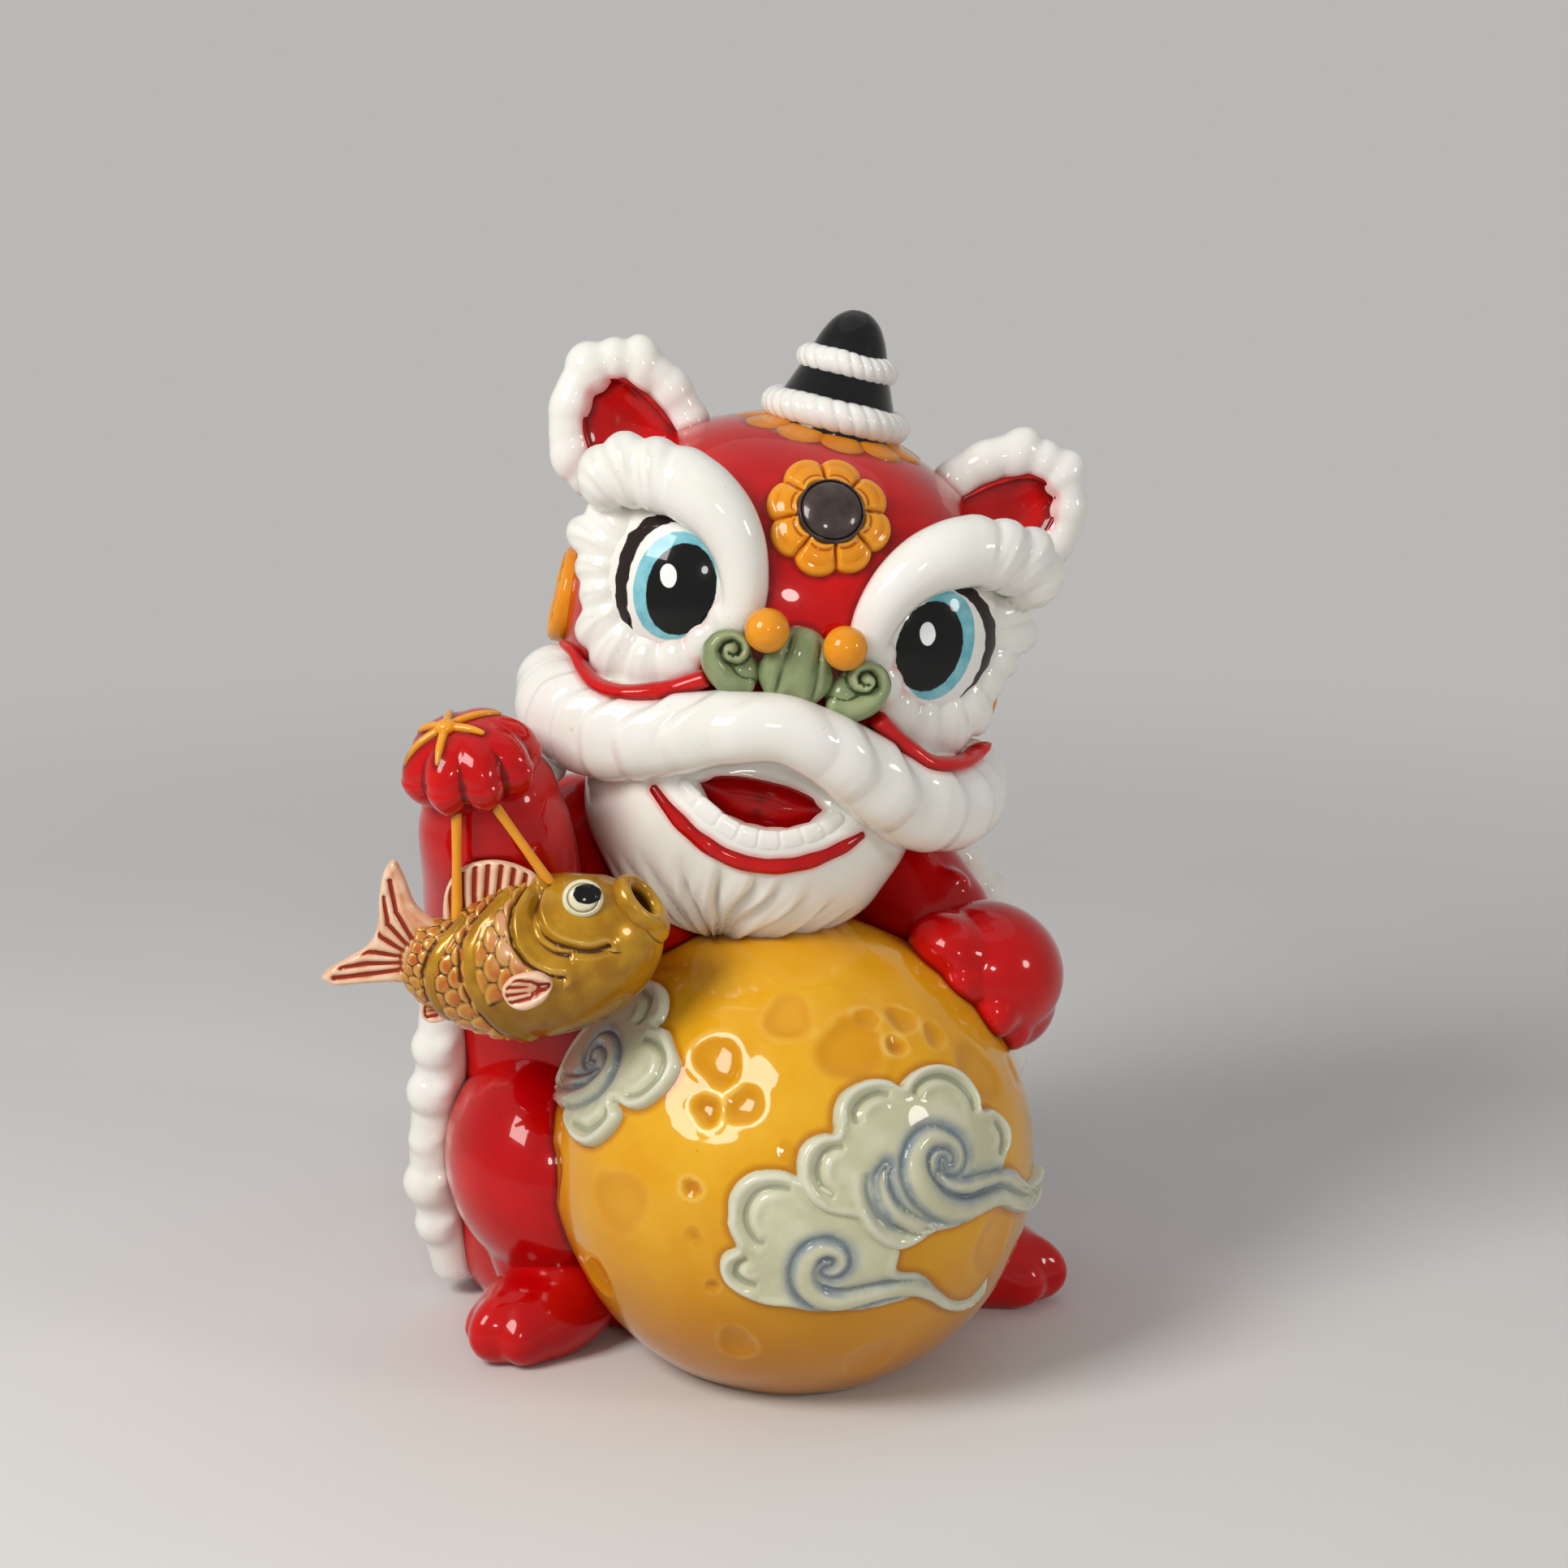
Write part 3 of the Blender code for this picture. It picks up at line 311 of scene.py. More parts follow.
def slab(name, inside, cell, box, top, bottom, shape):
    """A closed sheet cut to an outline: inside(u, v) is the distance within it, top and bottom its faces."""
    u = np.arange(box[0], box[1] + cell, cell)
    v = np.arange(box[2], box[3] + cell, cell)
    grid_u, grid_v = np.meshgrid(u, v, indexing="ij")
    depth = inside(grid_u, grid_v)
    kept = depth > -0.25 * cell
    cells = kept[:-1, :-1] & kept[1:, :-1] & kept[1:, 1:] & kept[:-1, 1:]
    used = np.zeros_like(kept)
    whole = np.ones_like(kept)
    for du, dv in ((0, 0), (1, 0), (1, 1), (0, 1)):
        used[du:du + cells.shape[0], dv:dv + cells.shape[1]] |= cells
    count = np.zeros(kept.shape, int)
    for du, dv in ((0, 0), (1, 0), (1, 1), (0, 1)):
        count[du:du + cells.shape[0], dv:dv + cells.shape[1]] += cells
    whole = count == 4
    slope_u, slope_v = np.gradient(depth, cell)
    steep = np.maximum(np.hypot(slope_u, slope_v), 0.3)
    border = used & ~whole
    shift = np.clip(depth, -cell, cell) / steep**2
    grid_u = np.where(border, grid_u - shift * slope_u, grid_u)
    grid_v = np.where(border, grid_v - shift * slope_v, grid_v)
    depth = np.where(border, 0.0, depth)
    number = np.full(kept.shape, -1)
    number[used] = np.arange(used.sum())
    flat_u, flat_v, flat_depth = grid_u[used], grid_v[used], depth[used]
    high = shape(flat_u, flat_v, top(flat_u, flat_v, flat_depth))
    low = shape(flat_u, flat_v, bottom(flat_u, flat_v, flat_depth))
    i, j = np.nonzero(cells)
    quads = np.stack([number[i, j], number[i + 1, j], number[i + 1, j + 1], number[i, j + 1]], -1)
    total = int(used.sum())
    edges = np.concatenate([quads[:, [k, (k + 1) % 4]] for k in range(4)])
    key = edges[:, 0].astype(np.int64) * total + edges[:, 1]
    back = edges[:, 1].astype(np.int64) * total + edges[:, 0]
    rim = edges[~np.isin(key, back)]
    walls = np.stack([rim[:, 1], rim[:, 0], rim[:, 0] + total, rim[:, 1] + total], -1)
    faces = np.vstack([quads, quads[:, ::-1] + total, walls])
    return solid(name, np.vstack([high, low]), faces.tolist())


# Marks left on a piece for its glaze


def mark(thing, name, values):
    layer = thing.data.attributes.get(name) or thing.data.attributes.new(name, "FLOAT", "POINT")
    layer.data.foreach_set("value", np.asarray(values, np.float32).ravel())


def spread(values, pairs, count, rounds):
    """Evens out a value over neighbouring points."""
    for _ in range(rounds):
        total = np.bincount(pairs[:, 0], values[pairs[:, 1]],
                            count) + np.bincount(pairs[:, 1], values[pairs[:, 0]], count)
        links = np.bincount(pairs.ravel(), minlength=count)
        values = 0.4 * values + 0.6 * total / np.maximum(links, 1)
    return values


def mark_hollows(thing, rounds=4):
    """Marks how hollow the surface is, in 1/mm: above 0 in grooves, below 0 on ridges."""
    mesh = thing.data
    count = len(mesh.vertices)
    points = points_of(thing)
    pairs = np.empty(len(mesh.edges) * 2, np.int32)
    mesh.edges.foreach_get("vertices", pairs)
    pairs = pairs.reshape(-1, 2)
    normals = np.empty(count * 3, np.float32)
    mesh.vertex_normals.foreach_get("vector", normals)
    normals = normals.reshape(-1, 3)
    pull = np.zeros((count, 3))
    reach = np.zeros(count)
    run = points[pairs[:, 1]] - points[pairs[:, 0]]
    square = (run**2).sum(1)
    for axis in range(3):
        pull[:, axis] = np.bincount(pairs[:, 0], run[:, axis],
                                    count) - np.bincount(pairs[:, 1], run[:, axis], count)
    reach = np.bincount(pairs[:, 0], square, count) + np.bincount(pairs[:, 1], square, count)
    hollow = 2 * (pull * normals).sum(1) / np.maximum(reach, 1e-6)
    mark(thing, "hollow", spread(np.clip(hollow, -2, 2), pairs, count, rounds))


def surface_tree(things):
    corners, faces = [], []
    for thing in things:
        start = len(corners)
        corners.extend((thing.data.vertices[k].co for k in range(len(thing.data.vertices))))
        faces.extend([[start + k for k in face.vertices] for face in thing.data.polygons])
    return BVHTree.FromPolygons(corners, faces)


def mark_seam(thing, tree, name, reach):
    """Marks 1 where the other pieces touch, fading to 0 at a distance in millimetres."""
    values = np.zeros(len(thing.data.vertices))
    for k, vertex in enumerate(thing.data.vertices):
        found = tree.find_nearest(vertex.co, reach * MM)
        if found[0] is not None:
            values[k] = 1 - found[3] / (reach * MM)
    mark(thing, name, values)


# Glazes


class Signal:
    """A value on its way through a glaze's nodes."""

    def __init__(self, glaze, socket):
        self.glaze, self.socket = glaze, socket

    def _math(self, operation, first, second=None, clamp=False):
        values = {0: first} if second is None else {0: first, 1: second}
        return self.glaze.node("ShaderNodeMath", {"operation": operation, "use_clamp": clamp}, values)

    def __add__(self, other): return self._math("ADD", self, other)
    def __sub__(self, other): return self._math("SUBTRACT", self, other)
    def __rsub__(self, other): return self._math("SUBTRACT", other, self)
    def __mul__(self, other): return self._math("MULTIPLY", self, other)
    def __truediv__(self, other): return self._math("DIVIDE", self, other)
    def __pow__(self, other): return self._math("POWER", self, other)
    def __neg__(self): return self._math("MULTIPLY", self, -1.0)
    __radd__, __rmul__ = __add__, __mul__

    def over(self, other): return self._math("MAXIMUM", self, other)
    def clamped(self): return self._math("ADD", self, 0.0, clamp=True)

    def step(self, low, high):
        """0 below low and 1 above high, with a soft rise; low may be the larger."""
        return self.glaze.node("ShaderNodeMapRange", {"interpolation_type": "SMOOTHSTEP"},
                               {"Value": self, "From Min": low, "From Max": high})


class Glaze:
    """A fired glaze: the nodes of one material."""

    def __init__(self, name, **finish):
        self.material = bpy.data.materials.new(name)
        self.material.use_nodes = True
        self.tree = self.material.node_tree
        self.shader = self.tree.nodes["Principled BSDF"]
        settings = {"Roughness": 0.35, "Coat Weight": 1.0, "Coat Roughness": 0.03, "Coat IOR": 1.34,
                    "Specular IOR Level": 0.05}
        for socket, value in {**settings, **finish}.items():
            self.shader.inputs[socket].default_value = value

    def node(self, kind, settings=None, values=None, output=0):
        made = self.tree.nodes.new(kind)
        for name, value in (settings or {}).items():
            setattr(made, name, value)
        for socket, value in (values or {}).items():
            target = made.inputs[socket]
            if isinstance(value, Signal):
                self.tree.links.new(value.socket, target)
            else:
                target.default_value = value
        return Signal(self, made.outputs[output])

    def colour(self, colour):
        return (*colour, 1.0) if isinstance(colour, tuple) else colour

    def mix(self, share, first, second, blend="MIX"):
        return self.node("ShaderNodeMix", {"data_type": "RGBA", "blend_type": blend},
                         {0: share, 6: self.colour(first), 7: self.colour(second)}, 2)

    def place(self, scale=1000.0, stretch=(1, 1, 1)):
        spot = self.node("ShaderNodeTexCoord", output=3)
        return self.node("ShaderNodeMapping", {},
                         {"Vector": spot, "Scale": tuple(scale * s for s in stretch)})

    def noise(self, size, detail=3.0, seed=0.0, stretch=(1, 1, 1)):
        """Noise from 0 to 1 with lumps of about this size in millimetres."""
        spot = self.node("ShaderNodeMapping", {},
                         {"Vector": self.place(stretch=stretch), "Location": (seed, seed, -seed)})
        return self.node("ShaderNodeTexNoise", {}, {"Vector": spot, "Scale": 1.0 / size, "Detail": detail})

    def marked(self, name):
        return self.node("ShaderNodeAttribute", {"attribute_name": name, "attribute_type": "GEOMETRY"},
                         output=2)

    def bump(self, height, distance, strength=1.0, before=None):
        values = {"Height": height, "Distance": distance * MM, "Strength": strength}
        if before is not None:
            values["Normal"] = before
        return self.node("ShaderNodeBump", {}, values)

    def feed(self, **sockets):
        for name, value in sockets.items():
            self.tree.links.new(value.socket, self.shader.inputs[name.replace("_", " ")])
        return self.material

    def finish(self, colour, roughness=0.2, dimple=0.02, normal=None):
        """Feeds the colour, and the faint unevenness and pinholes of a fired surface."""
        patches = self.noise(14.0, 3.0, 7.0)
        ripple = self.bump(self.noise(5.0, 2.0, 3.0), dimple * 8, 0.35, normal)
        skin = self.bump(self.noise(0.9, 2.0, 5.0), dimple, 0.4, ripple)
        return self.feed(Base_Color=colour, Roughness=patches * 0.12 + (roughness - 0.06), Normal=skin)


RED_DEEP, RED, RED_BRIGHT = (0.12, 0.0, 0.0), (0.45, 0.0, 0.001), (0.58, 0.003, 0.003)
WHITE, WHITE_SHADE, PINK = (0.83, 0.815, 0.765), (0.46, 0.44, 0.35), (0.78, 0.10, 0.08)


def red_glaze():
    glaze = Glaze("red_glaze_fired", **{"Roughness": 0.25})
    hollow = glaze.marked("hollow")
    drift = glaze.noise(17.0, 3.0)
    colour = glaze.mix(drift.step(0.3, 0.75), RED, RED_BRIGHT)
    # Painted shade: darker red in the grooves, standing also for the glaze that pools there
    colour = glaze.mix(hollow.step(0.02, 0.35) * 0.85, colour, RED_DEEP)
    # Painted highlight: brighter red on the ridges
    colour = glaze.mix((-hollow).step(0.12, 0.6) * 0.45, colour, (0.70, 0.02, 0.015))
    # Painted shade: darker red along the seams where other pieces touch, standing also for glaze pooled there
    colour = glaze.mix(glaze.marked("seam").step(0.35, 1.0) * 0.75, colour, RED_DEEP)
    specks = glaze.noise(1.6, 1.0, 9.0).step(0.74, 0.8)
    colour = glaze.mix(specks * 0.35, colour, RED_DEEP)
    return glaze.finish(colour, 0.22)


def white_paint(glaze, blushing=0.6):
    """White glaze with painted shade greying its creases; it takes red at its seams."""
    hollow = glaze.marked("hollow")
    drift = glaze.noise(11.0, 3.0, 2.0)
    colour = glaze.mix(drift.step(0.35, 0.75), WHITE, (0.80, 0.79, 0.71))
    # Painted shade: grey in the creases
    colour = glaze.mix(hollow.step(0.03, 0.55) * 0.6, colour, WHITE_SHADE)
    blush = glaze.noise(5.0, 3.0, 4.0).step(0.25, 0.75) * 0.5 + 0.5
    return glaze.mix(glaze.marked("bleed").step(0.3, 1.0) * blush * blushing, colour, PINK)


def white_glaze():
    glaze = Glaze("white_glaze_fired", **{"Subsurface Weight": 0.12, "Subsurface Scale": 0.0015})
    colour = white_paint(glaze)
    specks = glaze.noise(1.3, 1.0, 6.0).step(0.755, 0.80)
    return glaze.finish(glaze.mix(specks * 0.3, colour, (0.42, 0.33, 0.2)), 0.2)


def plain_glaze(name, deep, body, thin_and_highlight, pool_and_shade=(0.02, 0.4), **finish):
    """Coloured glaze with painted shade in grooves and at seams, where it pools too, and painted highlights
    on edges, where it thins.
    """
    glaze = Glaze(name, **finish)
    hollow = glaze.marked("hollow")
    drift = glaze.noise(6.0, 3.0, 1.0)
    colour = glaze.mix(drift.step(0.3, 0.8) * 0.5, body, thin_and_highlight)
    # Painted shade in the grooves, together with the glaze's own pooling
    colour = glaze.mix(hollow.step(*pool_and_shade) * 0.9, colour, deep)
    # Painted highlight on the edges, together with the glaze's own thinning
    colour = glaze.mix((-hollow).step(0.1, 0.7) * 0.55, colour, thin_and_highlight)
    # Painted shade along the seams, together with glaze pooled there
    colour = glaze.mix(glaze.marked("seam").step(0.4, 1.0) * 0.6, colour, deep)
    return glaze.finish(colour, 0.2)


def moon_glaze():
    glaze = Glaze("moon_glaze_fired", **{"Roughness": 0.2})
    hollow = glaze.marked("hollow")
    height = glaze.node("ShaderNodeSeparateXYZ", {}, {"Vector": glaze.place()}, 2)
    drift = glaze.noise(19.0, 4.0, 3.0)
    colour = glaze.mix(drift.step(0.3, 0.75), (0.71, 0.32, 0.004), (0.78, 0.41, 0.02))
    # Painted shade: darker towards the bottom
    colour = glaze.mix(height.step(58.0, 0.0) * 0.8, colour, (0.42, 0.135, 0.002))
    # Painted shade inside the craters, standing also for glaze pooled there
    colour = glaze.mix(glaze.marked("pit").clamped() * 0.5, colour, (0.55, 0.20, 0.002))
    # Painted shade in the grooves
    colour = glaze.mix(hollow.step(0.02, 0.2) * 0.7, colour, (0.50, 0.165, 0.002))
    # Painted highlight on the ridges
    colour = glaze.mix((-hollow).step(0.03, 0.2) * 0.75, colour, (0.88, 0.60, 0.16))
    # Painted shade along the seams with the clouds and paws, standing also for glaze pooled there
    colour = glaze.mix(glaze.marked("seam").step(0.3, 0.95) * 0.7, colour, (0.42, 0.13, 0.004))
    specks = glaze.noise(1.2, 2.0, 8.0).step(0.72, 0.80)
    colour = glaze.mix(specks * 0.4, colour, (0.38, 0.13, 0.01))
    return glaze.finish(colour, 0.2, 0.03)


def cloud_glaze():
    glaze = Glaze("cloud_glaze_fired", **{"Roughness": 0.2})
    hollow = glaze.marked("hollow")
    drift = glaze.noise(7.0, 3.0, 6.0)
    colour = glaze.mix(drift.step(0.3, 0.75), (0.53, 0.52, 0.33), (0.63, 0.62, 0.44))
    # Painted shade in the grooves
    colour = glaze.mix(hollow.step(0.02, 0.45) * 0.65, colour, (0.24, 0.27, 0.18))
    # Painted highlight on the rims
    colour = glaze.mix((-hollow).step(0.08, 0.6) * 0.45, colour, (0.74, 0.75, 0.66))
    # Blue-grey painted shade round the scrolls and wisps, uneven in patches
    shade_patches = glaze.noise(4.0, 3.0, 3.0).step(0.2, 0.7) * 0.5 + 0.5
    colour = glaze.mix(glaze.marked("curl").step(0.0, 1.0) * shade_patches * 0.85, colour, (0.15, 0.20, 0.27))
    return glaze.finish(colour, 0.2)


def eye_glaze():
    glaze = Glaze("painted_eye_fired", **{"Roughness": 0.2})
    wobble = (glaze.noise(1.5, 3.0, 5.0) - 0.5) * 0.45
    colour = white_paint(glaze, 0.0)
    iris = (glaze.marked("iris") + wobble * 0.5).step(-0.12, 0.12)
    blue = glaze.mix(glaze.noise(3.0, 2.0, 2.0).step(0.3, 0.7), (0.14, 0.43, 0.51), (0.24, 0.56, 0.61))
    colour = glaze.mix(iris, colour, blue)
    black = (glaze.marked("pupil") + wobble).step(-0.1, 0.1)
    lash = (glaze.marked("lash") + wobble).step(-0.1, 0.1)
    colour = glaze.mix(lash, colour, (0.018, 0.010, 0.008))
    colour = glaze.mix(black, colour, (0.004, 0.004, 0.004))
    glint = (glaze.marked("glint") + wobble * 0.5).step(-0.08, 0.08)
    return glaze.finish(glaze.mix(glint, colour, (0.86, 0.86, 0.86)), 0.2, 0.01)


def bronze_glaze():
    glaze = Glaze("bronze_glaze_fired", **{"Metallic": 0.3, "Roughness": 0.28})
    hollow = glaze.marked("hollow")
    drift = glaze.noise(4.0, 3.0)
    colour = glaze.mix(drift.step(0.3, 0.7), (0.045, 0.03, 0.027), (0.08, 0.055, 0.048))
    colour = glaze.mix(hollow.step(0.05, 0.4), colour, (0.006, 0.005, 0.005))
    return glaze.finish(colour, 0.3)


def carp_glaze():
    """Old gold with rust-coloured scales; painted brown shade in grooves, inside the mouth and towards the
    bottom; painted highlights on ridges.
    """
    glaze = Glaze("carp_glaze_fired", **{"Roughness": 0.25, "Metallic": 0.15})
    hollow = glaze.marked("hollow")
    drift = glaze.noise(6.0, 3.0, 4.0)
    gold = glaze.mix(drift.step(0.3, 0.75), (0.36, 0.16, 0.005), (0.54, 0.29, 0.016))
    gold = glaze.mix(glaze.noise(15.0, 2.0, 8.0).step(0.45, 0.75) * 0.6, gold, (0.24, 0.095, 0.003))
    height = glaze.node("ShaderNodeSeparateXYZ", {}, {"Vector": glaze.place()}, 2)
    # Painted shade: darker brown towards the bottom
    gold = glaze.mix(height.step(102.0, 82.0) * 0.65, gold, (0.15, 0.06, 0.003))
    rust = glaze.mix(glaze.noise(4.5, 2.0, 1.0).step(0.35, 0.65), (0.50, 0.115, 0.02), (0.56, 0.24, 0.035))
    rust = glaze.mix(glaze.marked("lit").clamped() * 0.55, rust, (0.84, 0.52, 0.36))
    rust = glaze.mix(glaze.marked("edge").step(0.45, 0.8) * 0.6, rust, (0.60, 0.34, 0.06))
    rust = glaze.mix(glaze.marked("edge").step(0.82, 0.98) * 0.85, rust, (0.10, 0.03, 0.006))
    colour = glaze.mix(glaze.marked("scaled").step(0.2, 0.8), gold, rust)
    # Painted shade: brown in every groove
    colour = glaze.mix(hollow.step(0.05, 0.7), colour, (0.08, 0.026, 0.005))
    # Painted highlight: pale gold on the ridges
    colour = glaze.mix((-hollow).step(0.15, 0.8) * 0.45, colour, (0.68, 0.44, 0.11))
    # Painted shade: near black deep inside the open mouth
    colour = glaze.mix(glaze.marked("throat").clamped() * 0.9, colour, (0.06, 0.016, 0.003))
    return glaze.finish(colour, 0.25)


def fin_glaze():
    glaze = Glaze("carp_fin_glaze_fired", **{"Roughness": 0.25})
    hollow = glaze.marked("hollow")
    colour = glaze.mix(glaze.noise(4.0, 3.0, 2.0).step(0.3, 0.7), (0.60, 0.22, 0.09), (0.80, 0.50, 0.34))
    colour = glaze.mix(glaze.marked("root").step(0.2, 1.0) * 0.8, colour, (0.42, 0.19, 0.02))
    colour = glaze.mix((-hollow).step(0.1, 0.7) * 0.6, colour, (0.84, 0.64, 0.46))
    colour = glaze.mix(hollow.step(0.0, 0.28), colour, (0.27, 0.022, 0.006))
    return glaze.finish(colour, 0.25)


def carp_eye_glaze():
    glaze = Glaze("carp_eye_fired", **{"Roughness": 0.2})
    colour = glaze.mix(glaze.marked("hollow").step(0.03, 0.4) * 0.8, (0.72, 0.68, 0.48), (0.22, 0.14, 0.03))
    wobble = (glaze.noise(0.8, 2.0, 5.0) - 0.5) * 0.4
    colour = glaze.mix((glaze.marked("pupil") + wobble).step(-0.1, 0.1), colour, (0.004, 0.004, 0.004))
    return glaze.finish(colour, 0.2)


GLAZES = {
    "red_glaze": red_glaze(),
    "white_glaze": white_glaze(),
    "moon_yellow_glaze": moon_glaze(),
    "celadon_glaze": cloud_glaze(),
    "jade_glaze": plain_glaze("jade_glaze_fired", (0.035, 0.06, 0.022), (0.19, 0.245, 0.11),
                              (0.41, 0.44, 0.24)),
    "black_glaze": plain_glaze("black_glaze_fired", (0.002, 0.002, 0.002), (0.005, 0.005, 0.005),
                               (0.010, 0.010, 0.010)),
    "amber_glaze": plain_glaze("amber_glaze_fired", (0.38, 0.07, 0.002), (0.74, 0.245, 0.004),
                               (0.83, 0.40, 0.035)),
    "bronze_glaze": bronze_glaze(),
    "gold_glaze": carp_glaze(),
    "carp_red_glaze": fin_glaze(),
    "eye": eye_glaze(),
    "carp_eye": carp_eye_glaze(),
}
pieces = {}


def keep(thing, slot, *nodes, glaze=None, rounds=4):
    """A finished piece: it stands for its nodes, rides on the fixed body and wears its glaze."""
    thing.data.materials.clear()
    thing.data.materials.append(GLAZES[glaze or slot])
    thing.data.shade_smooth()
    mark_hollows(thing, rounds)
    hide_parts(*(nodes or (thing.name[:-4],)))
    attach(thing, "root")
    pieces[thing.name] = (thing, slot)
    return thing


# Moon

CRATERS = ((-41, 40, 5.5, 0.8), (-41, 28, 3.6, 0.9), (-31, 30, 4.4, 0.7), (0, 43, 7.5, 0.7),
           (15, 42, 2.4, 0.7),
           (31, 42, 3.0, 0.5), (41, 30, 7.0, 0.6), (-42, 10, 2.2, 0.9), (-41, -1, 2.0, 0.4),
           (-62, 3, 7.5, 0.4),
           (-37, -13, 1.6, 0.7), (37, -10, 7.5, 0.5), (22, 48, 3.4, 0.6), (9, 50, 2.6, 0.5),
           (-20, 52, 5.5, 0.5),
           (-33, -30, 4.5, 0.5), (5, -38, 6.0, 0.4), (70, -15, 6.5, 0.6), (80, 12, 4.2, 0.6),
           (-75, -20, 5.0, 0.5),
           (-95, 0, 6.5, 0.6), (105, -10, 5.0, 0.5), (62, 24, 3.6, 0.6), (-20, 20, 2.0, 0.3),
           (50, -32, 5.0, 0.4))


def moon_direction(longitude, latitude):
    lon, lat = np.radians(longitude), np.radians(latitude)
    return np.stack([np.sin(lon) * np.cos(lat), -np.cos(lon) * np.cos(lat), np.sin(lat)], -1)


# A wide shallow dent round the three craters on the raised paw's side, as (longitude, latitude, radius)
WIDE_DENT = (-37.5, 33, 15.5)


def crater_gap(directions, lon, lat, radius):
    """How far out of a crater's middle each direction lies, where its uneven rim is 1."""
    _, east, north = cloud_frame(lon, lat)
    around = np.arctan2(directions @ north, directions @ east)
    uneven = 1 + 0.10 * np.sin(2 * around + lon) + 0.07 * np.sin(3 * around + 2 * lat)
    return np.arccos(np.clip(directions @ moon_direction(lon, lat), -1,
                             1)) * MOON_RADIUS / (radius * uneven)


def moon_shape(directions):
    """The hand-beaten ball with craters: soft pits, each with a faint ring, and a flat foot."""
    height = 0.16 * waves(directions * MOON_RADIUS, 13,
                          3.0) + 0.03 * waves(directions * MOON_RADIUS, 5, 5.0)
    height -= 1.25 * ease(-crater_gap(directions, *WIDE_DENT), -1.0, -0.2)
    for lon, lat, radius, depth in CRATERS:
        gap = crater_gap(directions, lon, lat, radius)
        height -= 1.05 * depth * np.clip(1 - gap**3, 0, 1) ** 1.5
        height += 0.20 * depth * np.exp(-(((gap - 1.15) / 0.22) ** 2))
    points = MOON_CENTRE + directions * (MOON_RADIUS + height)[:, None]
    points[:, 2] = np.maximum(points[:, 2], 0.0)
    return points


def make_moon():
    moon = globe("moon_ball", 7, moon_shape)
    directions = unit(points_of(moon) - MOON_CENTRE)
    # Marks the painted shade inside each crater, strongest near its wall, which stands also for glaze pooled
    # there
    pit = np.zeros(len(directions))
    for lon, lat, radius, depth in CRATERS:
        gap = crater_gap(directions, lon, lat, radius)
        pit = np.maximum(pit, (0.5 + 0.5 * np.exp(-(((gap - 0.8) / 0.3) ** 2)))
                         * (1 - ease(gap, 0.78, 1.15)) * min(1, 0.4 + depth))
    mark(moon, "pit", pit)
    keep(moon, "moon_yellow_glaze", "moon", rounds=2)


# Clouds on the moon, drawn flat in millimetres about a middle and wrapped onto the ball


def cloud_frame(longitude, latitude):
    middle = moon_direction(longitude, latitude)
    east = unit(np.cross((0, 0, 1), middle))
    return middle, east, np.cross(middle, east)


def wrapped(cloud, u, v, height):
    middle, east, north = cloud
    reach = np.maximum(np.hypot(u, v), 1e-9)
    angle = reach / MOON_RADIUS
    sideways = (east * u[:, None] + north * v[:, None]) / reach[:, None]
    direction = middle * np.cos(angle)[:, None] + sideways * np.sin(angle)[:, None]
    return MOON_CENTRE + direction * (MOON_RADIUS + height)[:, None]


